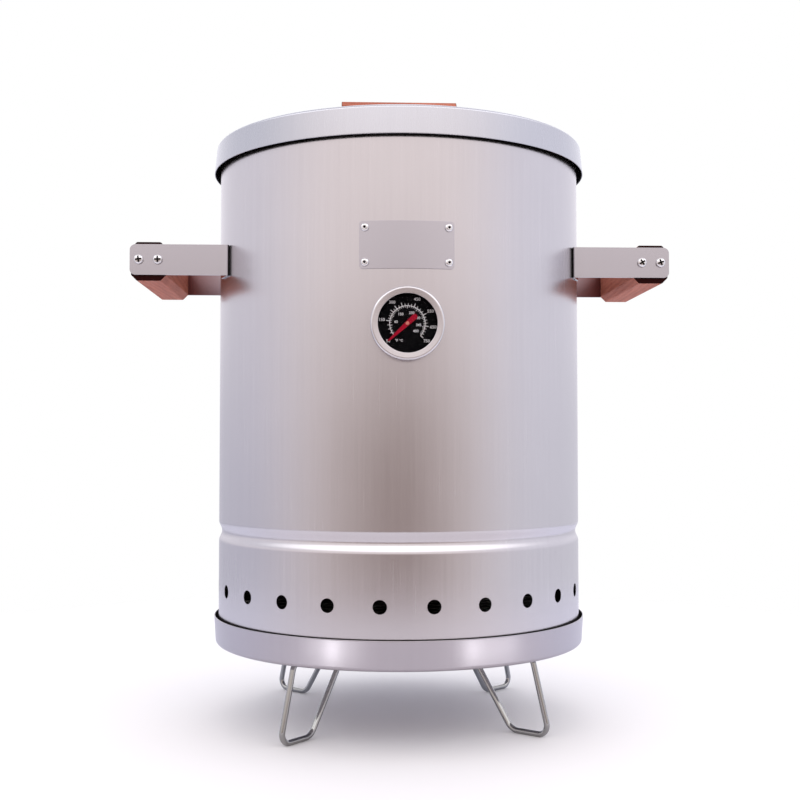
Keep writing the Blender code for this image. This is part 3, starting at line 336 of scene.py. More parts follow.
# Folding legs: four closed loops of 6 mm wire, bent round a form, butt welded and bright plated.
# Each turns on its upper run under the tray, and its foot is pressed flat underneath.
def rounded(corners, steps):
    """Closed outline with each (x, y, radius) corner bent to an arc, or kept where radius is 0."""
    outline = []
    for i, (x, y, radius) in enumerate(corners):
        here = Vector((x, y))
        if not radius:
            outline.append((x, y))
            continue
        back = (Vector(corners[i - 1][:2]) - here).normalized()
        ahead = (Vector(corners[(i + 1) % len(corners)][:2]) - here).normalized()
        half = back.angle(ahead) / 2
        centre = here + (back + ahead).normalized() * radius / math.sin(half)
        first = here + back * radius / math.tan(half) - centre
        last = here + ahead * radius / math.tan(half) - centre
        turn = first.angle_signed(last)
        for step in range(steps + 1):
            swing = Matrix.Rotation(-turn * step / steps, 2)
            outline.append(tuple(centre + swing @ first))
    return outline


def tube(bm, path, radius, sides, closed=False):
    """Round wire along points, with domed ends unless it is closed."""
    points = [Vector(p) for p in path]
    last = len(points) - 1
    stations = []
    for i, point in enumerate(points):
        before = points[i - 1] if closed or i else point
        after = points[(i + 1) % len(points)] if closed or i < last else point
        stations.append((point, (after - before).normalized(), radius))
    if not closed:
        start, ahead, _ = stations[0]
        stop, onward, _ = stations[-1]
        for degrees in (30, 60):
            rise = radius * math.sin(math.radians(degrees))
            narrow = radius * math.cos(math.radians(degrees))
            stations.insert(0, (start - ahead * rise, ahead, narrow))
            stations.append((stop + onward * rise, onward, narrow))
    side = stations[0][1].orthogonal().normalized()
    ring = [math.tau * i / sides for i in range(sides)]
    rows = []
    for point, heading, wide in stations:
        side = (side - heading * side.dot(heading)).normalized()
        up = heading.cross(side)
        places = [point + wide * (math.cos(a) * side + math.sin(a) * up) for a in ring]
        rows.append([bm.verts.new(place) for place in places])
    bridged(bm, rows, closed)
    if not closed:
        bridged(bm, [rows[0], [bm.verts.new(start - ahead * radius)]])
        bridged(bm, [rows[-1], [bm.verts.new(stop + onward * radius)]])


def at(x, y, z):
    """Frame moved to a place."""
    return Matrix.Translation((x, y, z))


def spun(degrees, axis="Z"):
    """Frame turned about an axis."""
    return Matrix.Rotation(math.radians(degrees), 4, axis)


def spoke(degrees):
    """Frame about the barrel's axis: local x points out at this azimuth, and local z up."""
    return spun(degrees - 90)


LEG_AZIMUTHS = {"front_left": -40, "front_right": 51, "rear_right": 132, "rear_left": -133}
LEG_WIRE = 0.003
LEG_PIVOT_Z = 0.0807
LEG_PIVOT = (0.095, 0.172)
LEG_FOOT = (0.147, 0.192)
FOOT_Z = 0.0026 - LEG_PIVOT_Z
LEG_BEND = 0.010
LEG_INNER_BEND = 0.015
WIRE_CREASE = 60
LEG_STEEL = brushed(
    "leg_steel", (0.37, 0.37, 0.36), 0.07, "around", (900, 30),
    depth=0.10, uneven=0.03, bump=0.015,
)

loop = rounded(
    [
        (LEG_PIVOT[0], 0, LEG_BEND),
        (LEG_PIVOT[1], 0, LEG_BEND),
        (LEG_FOOT[1], FOOT_Z, LEG_BEND),
        (LEG_FOOT[0], FOOT_Z, LEG_INNER_BEND),
    ],
    10,
)
bm = bmesh.new()
tube(bm, [(x, 0, z) for x, z in loop], LEG_WIRE, 20, closed=True)
for vert in bm.verts:
    vert.co.z = max(vert.co.z, -LEG_PIVOT_Z)
leg = finished("leg", bm, WIRE_CREASE)
for corner, degrees in LEG_AZIMUTHS.items():
    stand = spoke(degrees) @ at(0, 0, LEG_PIVOT_Z)
    piece(f"leg_{corner}", leg, LEG_STEEL, f"leg_{corner}", stand)


# Leg clips: short saddles pressed from 1.2 mm sheet and spot welded under the tray.
# Each clamps the upper run of one leg and lets it turn.
def applied(obj):
    """Mesh of an object with its modifiers applied. The object is removed."""
    bpy.context.view_layer.update()
    graph = bpy.context.evaluated_depsgraph_get()
    mesh = bpy.data.meshes.new_from_object(obj.evaluated_get(graph))
    bpy.data.objects.remove(obj, do_unlink=True)
    return mesh


def loose(name, data):
    """Object that holds data until it is applied or staged."""
    obj = bpy.data.objects.new(name, data)
    bpy.context.scene.collection.objects.link(obj)
    return obj


def modified(name, mesh, kind, **settings):
    """Mesh with a modifier applied."""
    obj = loose(name, mesh)
    adjusted(obj.modifiers.new(name, kind), settings)
    return applied(obj)


def softened(name, mesh, width, segments=2):
    """Mesh with its sharp edges rounded, as deburred metal or sanded wood is."""
    sharp = {"limit_method": "ANGLE", "angle_limit": math.radians(40)}
    return smoothed(modified(name, mesh, "BEVEL", width=width, segments=segments, **sharp), 20)


def thickened(name, mesh, sheet, offset=-1):
    """Sheet of this thickness about a surface, or below it where the offset is -1."""
    even = {"thickness": sheet, "offset": offset, "use_even_offset": True}
    return modified(name, mesh, "SOLIDIFY", **even)


def strip(name, path, halves, sheet, edge):
    """Strip of sheet along (x, y) points, each with its own half height, with softened edges."""
    bm = bmesh.new()
    rows = []
    for (x, y), half in zip(path, halves):
        rows.append([bm.verts.new((x, y, z)) for z in (-half, half)])
    bridged(bm, list(zip(*rows)), ring=False)
    return softened(name, thickened(name, finished(name, bm), sheet, 0), edge)


CLIP_SHEET = 0.0012
CLIP_LENGTH = 0.036
CLIP_MIDDLE = 0.141
CLIP_BEND = 0.0012
CLIP_FLANGE_Z = 0.0024
CLIP_FLANGE_END = 0.0125
CLIP_EDGE = 0.0002
SADDLE = 0.0039
CLIP_STEEL = brushed(
    "clip_steel", (0.58, 0.57, 0.585), 0.34, "along", (1200, 30),
    depth=0.06, uneven=0.04, bump=0.05,
)
shoulder = (SADDLE + CLIP_BEND, CLIP_FLANGE_Z - CLIP_BEND)
saddle_path = [
    (-CLIP_FLANGE_END, CLIP_FLANGE_Z),
    *arc(-shoulder[0], shoulder[1], CLIP_BEND, 90, 0, 4),
    *arc(0, 0, SADDLE, 180, 360, 12),
    *arc(*shoulder, CLIP_BEND, 180, 90, 4),
    (CLIP_FLANGE_END, CLIP_FLANGE_Z),
]
clip_halves = [CLIP_LENGTH / 2] * len(saddle_path)
clip = strip("leg_clip", saddle_path, clip_halves, CLIP_SHEET, CLIP_EDGE)
along_spoke = Matrix(((0, 0, 1, 0), (1, 0, 0, 0), (0, 1, 0, 0), (0, 0, 0, 1)))
for corner, degrees in LEG_AZIMUTHS.items():
    seat = spoke(degrees) @ at(CLIP_MIDDLE, 0, LEG_PIVOT_Z) @ along_spoke
    piece(f"leg_clip_{corner}", clip, CLIP_STEEL, "base", seat)


# Charcoal grate: rods welded across a wire ring, on three short feet that stand in the tray.
# The wire is thick, and heat has left it a little darker than the cooking grates; it is darkened
# further as painted shade, where it shows through the air holes.
def circle(x, y, radius, steps):
    """Points on a full circle."""
    return arc(x, y, radius, 0, 360 - 360 / steps, steps - 1)


def hoop(bm, radius, height, wire):
    """Level ring of wire."""
    path = [(x, y, height) for x, y in circle(0, 0, radius, HOOP_STEPS)]
    tube(bm, path, wire, WIRE_SIDES, closed=True)


def wire_grid(name, radius, middle, wire, bar, pitch, feet=None):
    """Round grid: a ring, two stays level with it, bars on top, and feet down to a height."""
    bm = bmesh.new()
    hoop(bm, radius, middle, wire)
    for x in (-STAY_SPACING / 2, STAY_SPACING / 2):
        reach = math.sqrt(radius**2 - x**2)
        tube(bm, [(x, -reach, middle), (x, reach, middle)], wire, WIRE_SIDES)
    bar_z = middle + wire + bar - WIRE_WELD
    most = int((radius - pitch / 2) / pitch)
    for i in range(-most, most + 1):
        reach = math.sqrt((radius + bar) ** 2 - (i * pitch) ** 2) - bar
        tube(bm, [(-reach, i * pitch, bar_z), (reach, i * pitch, bar_z)], bar, BAR_SIDES)
    if feet:
        for degrees in (0, 120, 240):
            top = spoke(degrees) @ Vector((radius, 0, middle))
            tube(bm, [top, (top.x, top.y, feet + wire)], wire, WIRE_SIDES)
    return finished(name, bm, WIRE_CREASE)


HOOP_STEPS = 120
WIRE_SIDES = 14
BAR_SIDES = 12
STAY_SPACING = 0.150
WIRE_WELD = 0.0006
GRATE_WIRE = 0.003
CHARCOAL_RADIUS = 0.186
CHARCOAL_Z = 0.1108
CHARCOAL_FEET = 0.0855
CHARCOAL_BAR = 0.0025
CHARCOAL_PITCH = 0.026
# Heat-darkened wire, darkened further as painted shade inside the barrel.
HEATED_SHADED_WIRE = brushed(
    "heated_shaded_wire", (0.30, 0.28, 0.27), 0.36, "along", (700, 60),
    depth=0.16, uneven=0.06, bump=0.05,
)
charcoal = wire_grid(
    "charcoal_grate", CHARCOAL_RADIUS, CHARCOAL_Z,
    GRATE_WIRE, CHARCOAL_BAR, CHARCOAL_PITCH, CHARCOAL_FEET,
)
piece("charcoal_grate", charcoal, HEATED_SHADED_WIRE, "charcoal_grate")


# Barrel shell: 1 mm stainless sheet brushed up and down, rolled, seam welded at the back.
# A bead rolled inwards stiffens the wall and carries the pan's rack, with a row of round air holes
# punched below it.
def cut(name, mesh, cutter):
    """Mesh with a cutter's mesh taken away."""
    tool = loose(f"{name}_tool", cutter)
    less = {"operation": "DIFFERENCE", "solver": "EXACT", "object": tool}
    made = modified(name, mesh, "BOOLEAN", **less)
    bpy.data.objects.remove(tool, do_unlink=True)
    return smoothed(made, 35)


def punches(name, radius, length, steps, places):
    """Mesh of round punches centred on frames, along their local z."""
    size = {"segments": steps, "radius1": radius, "radius2": radius, "depth": length}
    bm = bmesh.new()
    for place in places:
        bmesh.ops.create_cone(bm, cap_ends=True, matrix=place, **size)
    return finished(name, bm)


def outward(degrees, radius, height):
    """Frame on the barrel's wall: local z points out, local y up and local x along the wall."""
    return spun(degrees) @ at(0, -radius, height) @ spun(90, "X")


BARREL_RADIUS = 0.200
BARREL_INSIDE = 0.199
BARREL_FOOT = 0.08562
BARREL_TOP = 0.62762
BARREL_LIP = 0.0005
BEAD_Z = 0.20602
BEAD_WIDTH = 0.022
BEAD_DEPTH = 0.0033
BEAD_STEPS = 28
AIR_HOLES = 24
AIR_HOLE_RADIUS = 0.007
AIR_HOLE_Z = 0.14522
AIR_HOLE_BAND = 0.012
PUNCH = 0.012
BARREL_STEEL = brushed(
    "barrel_steel", (0.62, 0.60, 0.625), 0.26, "up", (1600, 9),
    depth=0.11, uneven=0.05, bump=0.028, spread=0.8,
)
# Near-black inside of the barrel: painted shade, so that the air holes read dark.
INSIDE_SHADE_STEEL = brushed(
    "inside_shade_steel", (0.10, 0.088, 0.078), 0.42, "up", (500, 9),
    depth=0.7, uneven=0.15, bump=0.04,
)

shares = [i / BEAD_STEPS for i in range(BEAD_STEPS + 1)]
bead_depths = [BEAD_DEPTH * (1 - math.cos(math.tau * s)) / 2 for s in shares]
bead = list(zip(bead_depths, [BEAD_Z + BEAD_WIDTH * (0.5 - s) for s in shares]))
hole_band = [(0.0, AIR_HOLE_Z + AIR_HOLE_BAND), (0.0, AIR_HOLE_Z - AIR_HOLE_BAND)]
lip_middle = BARREL_RADIUS - BARREL_LIP
wall = [
    *arc(lip_middle, BARREL_TOP - BARREL_LIP, BARREL_LIP, 180, 0, 6),
    *[(BARREL_RADIUS - depth, z) for depth, z in bead + hole_band],
    *arc(lip_middle, BARREL_FOOT + BARREL_LIP, BARREL_LIP, 0, -180, 6),
    *[(BARREL_INSIDE - depth, z) for depth, z in reversed(bead + hole_band)],
]
hole_turns = [(i + 0.5) * 360 / AIR_HOLES for i in range(AIR_HOLES)]
holes = [outward(degrees, BARREL_RADIUS, AIR_HOLE_Z) for degrees in hole_turns]
shell = turned("barrel_shell", wall, SHELL_STEPS, closed=True)
shell = cut("barrel_shell", shell, punches("air_holes", AIR_HOLE_RADIUS, PUNCH, 40, holes))
shell = faced(shell, (BARREL_STEEL, INSIDE_SHADE_STEEL), faces_axis)
piece("barrel_shell", shell, None, "barrel")

SEAM_HALF = 0.0016
SEAM_RISE = 0.0003
SEAM_SUNK = 0.0001
SEAM_SIDE = 4
SEAM_END = 0.001
WELD_STEEL = brushed(
    "weld_steel", (0.47, 0.445, 0.43), 0.34, "around", (1500, 300),
    depth=0.12, uneven=0.06, bump=0.15,
)
steps = [i / SEAM_SIDE for i in range(-SEAM_SIDE, SEAM_SIDE + 1)]
crown = [(SEAM_HALF * s, SEAM_RISE * (1 - s**2) - SEAM_SUNK) for s in steps]
bm = bmesh.new()
rows = []
for depth, z in [(0.0, BARREL_TOP - SEAM_END), *bead, (0.0, BARREL_FOOT + SEAM_END)]:
    rows.append([bm.verts.new((x, BARREL_RADIUS - depth + rise, z)) for x, rise in crown])
bridged(bm, list(zip(*rows)), ring=False)
seam = thickened("barrel_seam", finished("barrel_seam", bm), SEAM_RISE)
piece("barrel_seam", seam, WELD_STEEL, "barrel", extra=True)


# Grate straps: three upright sheet straps spot welded inside the wall, with ledges folded out.
# The lower ledges reach further in, so that the upper grate passes them.
def plate(name, outlines, sheet, edge):
    """Flat plate about Z = 0 with softened edges. Outlines inside the first one are holes."""
    flat = {"dimensions": "2D", "fill_mode": "BOTH", "extrude": sheet / 2 - edge}
    round_edge = {"bevel_depth": edge, "bevel_resolution": 1, "offset": -edge}
    curve = adjusted(bpy.data.curves.new(name, "CURVE"), {**flat, **round_edge})
    for outline in outlines:
        spline = curve.splines.new("POLY")
        spline.points.add(len(outline) - 1)
        spline.use_cyclic_u = True
        for point, (x, y) in zip(spline.points, outline):
            point.co = (x, y, 0, 1)
    bm = bmesh.new()
    bm.from_mesh(applied(loose(name, curve)))
    bmesh.ops.remove_doubles(bm, verts=bm.verts, dist=1e-6)
    return finished(name, bm, 20)


STRAP_BACK = 0.1980
STRAP_FACE = 0.1965
STRAP_SHEET = 0.0015
STRAP_WIDTH = 0.020
STRAP_END = 0.020
STRAP_EDGE = 0.0002
UPPER_LEDGE_Z = 0.47502
LOWER_LEDGE_Z = 0.32702
UPPER_LEDGE_REACH = 0.182
LOWER_LEDGE_REACH = 0.168
strap_top = UPPER_LEDGE_Z + STRAP_END
strap_foot = LOWER_LEDGE_Z - STRAP_END
strap = [(STRAP_BACK, strap_foot), (STRAP_BACK, strap_top), (STRAP_FACE, strap_top)]
for ledge, reach in ((UPPER_LEDGE_Z, UPPER_LEDGE_REACH), (LOWER_LEDGE_Z, LOWER_LEDGE_REACH)):
    under = ledge - STRAP_SHEET
    strap += [(STRAP_FACE, ledge), (reach, ledge), (reach, under), (STRAP_FACE, under)]
strap.append((STRAP_FACE, strap_foot))
ledges = plate("grate_strap", [strap], STRAP_WIDTH, STRAP_EDGE)
for side, degrees in {"right": 60, "rear": 180, "left": 300}.items():
    stand = spoke(degrees) @ spun(90, "X")
    piece(f"grate_strap_{side}", ledges, CLIP_STEEL, "barrel", stand)


# Water pan and rack: a ring of bright wire rests on the bead, with six spokes to a smaller ring.
# The pan is drawn from 1 mm sheet with its rim turned out flat, and hangs by that rim.
RACK_OUTER = 0.1948
RACK_INNER = 0.1445
RACK_Z = 0.2127
RACK_WIRE = 0.0025
PLATED_WIRE = brushed(
    "plated_wire", (0.42, 0.41, 0.415), 0.18, "around", (900, 30),
    depth=0.10, uneven=0.05, bump=0.03,
)
bm = bmesh.new()
for radius in (RACK_OUTER, RACK_INNER):
    hoop(bm, radius, RACK_Z, RACK_WIRE)
for degrees in range(0, 360, 60):
    ends = [spoke(degrees) @ Vector((radius, 0, RACK_Z)) for radius in (RACK_INNER, RACK_OUTER)]
    tube(bm, ends, RACK_WIRE, BAR_SIDES)
rack = finished("water_pan_rack", bm, WIRE_CREASE)
piece("water_pan_rack", rack, PLATED_WIRE, "water_pan_rack")

PAN_WALL = 0.138
PAN_FOOT = 0.128
PAN_DEPTH = 0.060
PAN_RIM = 0.151
PAN_SHEET = 0.0010
PAN_CORNER = 0.012
PAN_BEND = 0.002
PAN_UNDER = 0.1565
PAN_STEEL = brushed(
    "pan_steel", (0.60, 0.59, 0.60), 0.28, "around", (1100, 25),
    depth=0.07, uneven=0.04, bump=0.05,
)
pan_lip = PAN_SHEET / 2
pan_middle = PAN_FOOT - PAN_CORNER
bend_middle = (PAN_WALL - PAN_SHEET + PAN_BEND, PAN_DEPTH - PAN_BEND)
pan = [
    (0, PAN_SHEET),
    *arc(pan_middle, PAN_CORNER, PAN_CORNER - PAN_SHEET, -90, 0, 12),
    *arc(*bend_middle, PAN_BEND, 180, 90, 5),
    *arc(PAN_RIM - pan_lip, PAN_DEPTH - pan_lip, pan_lip, 90, -90, 6),
    *arc(*bend_middle, PAN_BEND - PAN_SHEET, 90, 180, 5),
    *arc(pan_middle, PAN_CORNER, PAN_CORNER, 0, -90, 12),
    (0, 0),
]
pan = turned("water_pan", [(r, PAN_UNDER + z) for r, z in pan], 128)
piece("water_pan", pan, PAN_STEEL, "water_pan")


# Cooking grates: two round wire grids, bright plated after welding, loose on the straps' ledges.
# The lower one is smaller, so that it goes down past the upper ledges.
GAP = 0.0003
GRATE_BAR = 0.002
GRATE_PITCH = 0.024
GRATES = {"lower_grate": (0.175, LOWER_LEDGE_Z), "upper_grate": (0.189, UPPER_LEDGE_Z)}
for node, (radius, ledge) in GRATES.items():
    grate_z = ledge + GAP + GRATE_WIRE
    grate = wire_grid(node, radius, grate_z, GRATE_WIRE, GRATE_BAR, GRATE_PITCH)
    piece(node, grate, PLATED_WIRE, node)


# Side handles: a 2 mm strap at either end, bent back along the wall and riveted there.
# The grip is a chamfered bar of oiled red hardwood, held in each strap by two cross-recess screws.
# Their faces towards the grip carry a painted reddish reflection of the wood and painted shade, and
# their bends carry painted shade.
def ramp(tree, value, start, end, smooth=True):
    """Value that goes from 0 at the start to 1 at the end."""
    kind = "SMOOTHSTEP" if smooth else "LINEAR"
    inputs = {0: value, 1: start, 2: end, 3: 0.0, 4: 1.0}
    return add(tree, "MapRange", inputs, interpolation_type=kind).outputs[0]


def blend(tree, share, *colours):
    """Colour between two others."""
    low, high = [(*c, 1.0) if isinstance(c, tuple) else c for c in colours]
    return add(tree, "Mix", {0: share, 6: low, 7: high}, data_type="RGBA").outputs[2]


def wood_grain():
    """Grain of a planed hardwood bar. Vector runs along the grain in x."""
    inputs = {"Vector": "Vector", "Light": "Color", "Dark": "Color", "Roughness": "Float"}
    tree, given, out = effect("wood_grain", {**inputs, "Soaked and shaded": "Color", "Ends": "Float"})
    drawn = stretched(tree, given["Vector"], (7.0, 90.0, 90.0))
    growth = noise(tree, drawn, 1.0, 5.0, 0.6)
    wave = {"Vector": drawn, "Scale": 1.1, "Distortion": 5.0, "Detail": 3.0, "Detail Scale": 0.8}
    rings = add(tree, "TexWave", wave, bands_direction="DIAGONAL").outputs[1]
    pores = noise(tree, stretched(tree, given["Vector"], (60.0, 1400.0, 1400.0)), 1.0, 2.0)
    pores = ramp(tree, pores, 0.56, 0.72, smooth=False)
    shade = sums(tree, "MULTIPLY_ADD", rings, 0.2, sums(tree, "MULTIPLY", growth, 1.1))
    shade = sums(tree, "SUBTRACT", shade, sums(tree, "MULTIPLY", pores, 0.28))
    colour = blend(tree, shade, given["Dark"], given["Light"])
    colour = blend(tree, given["Ends"], colour, given["Soaked and shaded"])
    rough = sums(tree, "MULTIPLY_ADD", pores, 0.2, given["Roughness"])
    height = sums(tree, "MULTIPLY_ADD", pores, -0.8, growth)
    feed(tree, out, {"Colour": colour, "Roughness": rough, "Height": height})
    return tree


WOOD_GRAIN = wood_grain()
WOOD_RELIEF = 0.0004


def oiled_wood(name, light, dark, soaked_shaded, roughness):
    """Oiled hardwood with its grain along local x. Its ends are end grain soaked darker with oil,
    and painted near black as shade.
    """
    made, tree, shader = plain_finish(name)
    where = add(tree, "TexCoord").outputs
    facing = sums(tree, "ABSOLUTE", parted(tree, where["Normal"])["X"])
    inputs = {"Vector": where["Object"], "Light": (*light, 1.0), "Dark": (*dark, 1.0)}
    inputs.update({"Roughness": roughness, "Soaked and shaded": (*soaked_shaded, 1.0)})
    inputs["Ends"] = sums(tree, "GREATER_THAN", facing, 0.6)
    grain = add(tree, "Group", inputs, node_tree=WOOD_GRAIN).outputs
    surfaced(tree, shader, *grain, 0.25, WOOD_RELIEF)
    feed(tree, shader, {"Specular IOR Level": 0.05})
    return made


def oil_stained(made, reflected_tint, tint_full_at, tint_gone_at):
    """Gives a brushed metal a painted tint of reflection and shade, full at one distance from X = 0
    and gone at another.
    """
    tree = made.node_tree
    lines = next(node for node in tree.nodes if node.type == "GROUP")
    where = add(tree, "TexCoord").outputs["Object"]
    aside = sums(tree, "ABSOLUTE", parted(tree, where)["X"])
    clean = tuple(lines.inputs["Colour"].default_value)[:3]
    shade = blend(tree, ramp(tree, aside, tint_gone_at, tint_full_at, smooth=False), clean, reflected_tint)
    feed(tree, lines, {"Colour": shade})
    return made


def bar(name, size, chamfer, edge):
    """Wood bar along X about the origin, with its long edges chamfered and all edges sanded."""
    long, wide, high = [s / 2 for s in size]
    half = [(wide, high - chamfer), (wide - chamfer, high)]
    section = half + [(-y, z) for y, z in reversed(half)]
    section += [(-y, -z) for y, z in section]
    bm = bmesh.new()
    ends = [[bm.verts.new((x, y, z)) for y, z in section] for x in (-long, long)]
    bridged(bm, ends)
    for end in ends:
        bm.faces.new(end)
    return softened(name, finished(name, bm), edge, 1)


def screw(name, length):
    """Pan-head screw with a cross recess. Its head sits on height 0 and its shank points down."""
    rim = HEAD_HEIGHT * 0.35
    crown = HEAD_HEIGHT - rim
    turns = [math.radians(degrees) for degrees in range(0, 91, 10)]
    dome = [(HEAD_RADIUS * math.sin(a), rim + crown * math.cos(a)) for a in turns]
    shank = [(SHANK_RADIUS, 0), (SHANK_RADIUS, SCREW_POINT - length), (0, -length)]
    blank = turned(name, [*dome, (HEAD_RADIUS, 0), *shank], 32)
    corner = [(ARM_HALF, ARM_HALF), (ARM_HALF, ARM), (-ARM_HALF, ARM)]
    quarters = [Matrix.Rotation(i * math.pi / 2, 2) for i in range(4)]
    cross = [(quarter @ Vector(p))[:] for quarter in quarters for p in corner]
    recess = plate("recess", [cross], 2 * RECESS_DEPTH, 0.00005)
    recess.transform(at(0, 0, HEAD_HEIGHT))

    def in_recess(centre, _):
        reach = math.hypot(centre.x, centre.y)
        surface = rim + crown * math.sqrt(max(0.0, 1 - (reach / HEAD_RADIUS) ** 2))
        deep = HEAD_HEIGHT - RECESS_DEPTH - 0.0001
        return reach < ARM and deep < centre.z < surface - SKIN

    # The cross recess is painted near black as shade.
    return faced(cut(name, blank, recess), (POLISHED_STEEL, RECESS_SHADE), in_recess)


def rivet(name, stack, radius=0.002, head=0.004):
    """Blind rivet through a stack of sheets, with its head on height 0 and its bulb below."""
    top, bore, deep = 0.0018, 0.0013, 0.0016
    swell = radius * 1.5
    inner = bore + 0.0002
    shares = (0.2, 0.4, 0.6, 0.8, 1)
    profile = [
        (0, top - deep),
        (bore - 0.0002, top - deep),
        (bore, top - deep + 0.0002),
        (bore, top - 0.0001),
        (bore + 0.0001, top),
        *[(inner + (head - inner) * s, top * (1 - 0.7 * s**2.6)) for s in shares],
        (head, 0),
        (radius, 0),
        (radius, -stack),
        (swell * 0.9, -stack),
        (swell, -stack - 0.0006),
        (swell, -stack - 0.0018),
        (swell * 0.6, -stack - 0.0027),
        (0, -stack - 0.003),
    ]

    def in_bore(centre, _):
        return math.hypot(centre.x, centre.y) < bore and 0 < centre.z < top - SKIN

    # The bore is painted near black as shade.
    made = turned(name, profile, 28, crease=50)
    return faced(made, (POLISHED_STEEL, RECESS_SHADE), in_bore)


def mirrored(mesh, across_x, across_y):
    """Copy of a mesh mirrored across the planes X = 0 and Y = 0."""
    copy = mesh.copy()
    copy.transform(Matrix.Diagonal((-1 if across_x else 1, -1 if across_y else 1, 1, 1)))
    if across_x != across_y:
        copy.flip_normals()
    return copy


def corner_drops(radius, step):
    """How far points of a rounded corner lie in from its end, by equal turns."""
    return [radius * (1 - math.cos(math.radians(a))) for a in range(0, 91, step)]


def corner_half(half, radius, inset):
    """Half height of a strip with rounded corners at a place this far in from its end."""
    return half - radius + math.sqrt(radius**2 - (radius - inset) ** 2)


HANDLE_Z = 0.49502
HANDLE_HALF_SPAN = 0.085
HANDLE_REACH = 0.287
BRACKET_SHEET = 0.002
BRACKET_HALF = 0.01625
BRACKET_CORNER = 0.006
BRACKET_BEND = 0.0022
BRACKET_EDGE = 0.0003
BRACKET_STEP = 0.0105
BEND_TURN = 1.6
FLANGE_MIDDLE = 0.2013
FLANGE_END = -16.3
FLANGE_FACE = 0.2026
FLANGE_RIVET_AZIMUTH = 70.64
FLANGE_RIVET_RISE = 0.009
FLANGE_STACK = 0.0042
# Reach of each strap's bend at the wall, painted near black as shade.
SHADED_BEND_REACH = 0.2028
SHADED_BEND_Y = -0.0815
# Painted reflection of the red wood, with painted shade, on the straps' faces towards the grip.
PAINTED_WOOD_REFLECTION = (0.22, 0.10, 0.10)
REFLECTION_FULL = 0.248
REFLECTION_END = 0.205
GRIP_X = 0.2675
GRIP_DROP = 0.0016
GRIP_SIZE = (0.1654, 0.037, 0.041)
GRIP_CHAMFER = 0.006
GRIP_EDGE = 0.0006
GRIP_SCREWS = {"inner": 0.2575, "outer": 0.2775}
GRIP_SCREW_LENGTH = 0.022
SCREW_TURNS = {
    "left_front_outer": 8, "left_front_inner": 2, "right_front_inner": 32, "right_front_outer": 20
}
REAR_SCREW_TURN = 15
HEAD_RADIUS = 0.005
HEAD_HEIGHT = 0.0034
SHANK_RADIUS = 0.0025
SCREW_POINT = 0.003
ARM = 0.0034
ARM_HALF = 0.0009
RECESS_DEPTH = 0.0022
SKIN = 0.0002
STRAP_LINES = {"lines": (1500, 12), "depth": 0.07, "uneven": 0.04, "bump": 0.02}
STRAP_STEEL = brushed("strap_steel", (0.53, 0.52, 0.565), 0.22, "along", **STRAP_LINES)
# Darker, redder steel for the straps' faces towards the grip: painted reflection of the wood and
# painted shade.
WOOD_REFLECTION_STEEL = brushed("wood_reflection_steel", (0.44, 0.355, 0.39), 0.22, "along", **STRAP_LINES)
WOOD_REFLECTION_STEEL = oil_stained(WOOD_REFLECTION_STEEL, PAINTED_WOOD_REFLECTION, REFLECTION_FULL, REFLECTION_END)
POLISHED_STEEL = brushed(
    "polished_steel", (0.78, 0.775, 0.79), 0.14, "around", (700, 40),
    depth=0.05, uneven=0.04, bump=0.03,
)
# Near-black steel in screw recesses and rivet bores: painted shade.
RECESS_SHADE = brushed(
    "recess_shade", (0.02, 0.018, 0.018), 0.5, "around", (700, 40),
    depth=0.3, uneven=0.06, bump=0.03,
)
# Its nearly black end colour is end grain soaked with oil, darkened further as painted shade.
RED_WOOD = oiled_wood(
    "red_wood", (0.585, 0.198, 0.127), (0.24, 0.054, 0.031), (0.020, 0.0022, 0.0018), 0.46
)


def in_bend(centre, _):
    """Whether a face of a strap lies in its bend, which is painted near black as shade."""
    return centre.y < SHADED_BEND_Y and math.hypot(centre.x, centre.y) < SHADED_BEND_REACH


def faces_grip(centre, normal):
    """Whether a face of a strap looks along the grip."""
    return normal.y > 0.9 and centre.x > SHADED_BEND_REACH


middle = HANDLE_HALF_SPAN - BRACKET_SHEET / 2
bend_turn = math.asin(middle / FLANGE_MIDDLE)
tangent = Vector((math.sin(bend_turn), math.cos(bend_turn)))
bend_at = Vector((FLANGE_MIDDLE * math.cos(bend_turn), -middle))
past_bend = bend_at + tangent * 0.03
bend = rounded([(HANDLE_REACH, -middle, 0), (*bend_at, BRACKET_BEND), (*past_bend, 0)], 8)[1:-1]
flange = arc(0, 0, FLANGE_MIDDLE, BEND_TURN - math.degrees(bend_turn), FLANGE_END, 8)
tip = corner_drops(BRACKET_CORNER, 10)
path = [(HANDLE_REACH - d, -middle) for d in tip]
path += [(HANDLE_REACH - BRACKET_CORNER - i * BRACKET_STEP, -middle) for i in range(1, 9)]
path += [*bend, *flange]
halves = [corner_half(BRACKET_HALF, BRACKET_CORNER, d) for d in tip]
halves += [BRACKET_HALF] * (len(path) - len(halves))
bracket = strip("handle_strap", path, halves, BRACKET_SHEET, BRACKET_EDGE)
bracket.transform(at(0, 0, HANDLE_Z))
bracket = faced(bracket, (STRAP_STEEL, SHADE_PAINTED_STEEL, WOOD_REFLECTION_STEEL), in_bend, faces_grip)
grip = bar("grip", GRIP_SIZE, GRIP_CHAMFER, GRIP_EDGE)
grip_screw = screw("grip_screw", GRIP_SCREW_LENGTH)
strap_rivet = rivet("strap_rivet", FLANGE_STACK)
SIDES = {"left": -1, "right": 1}
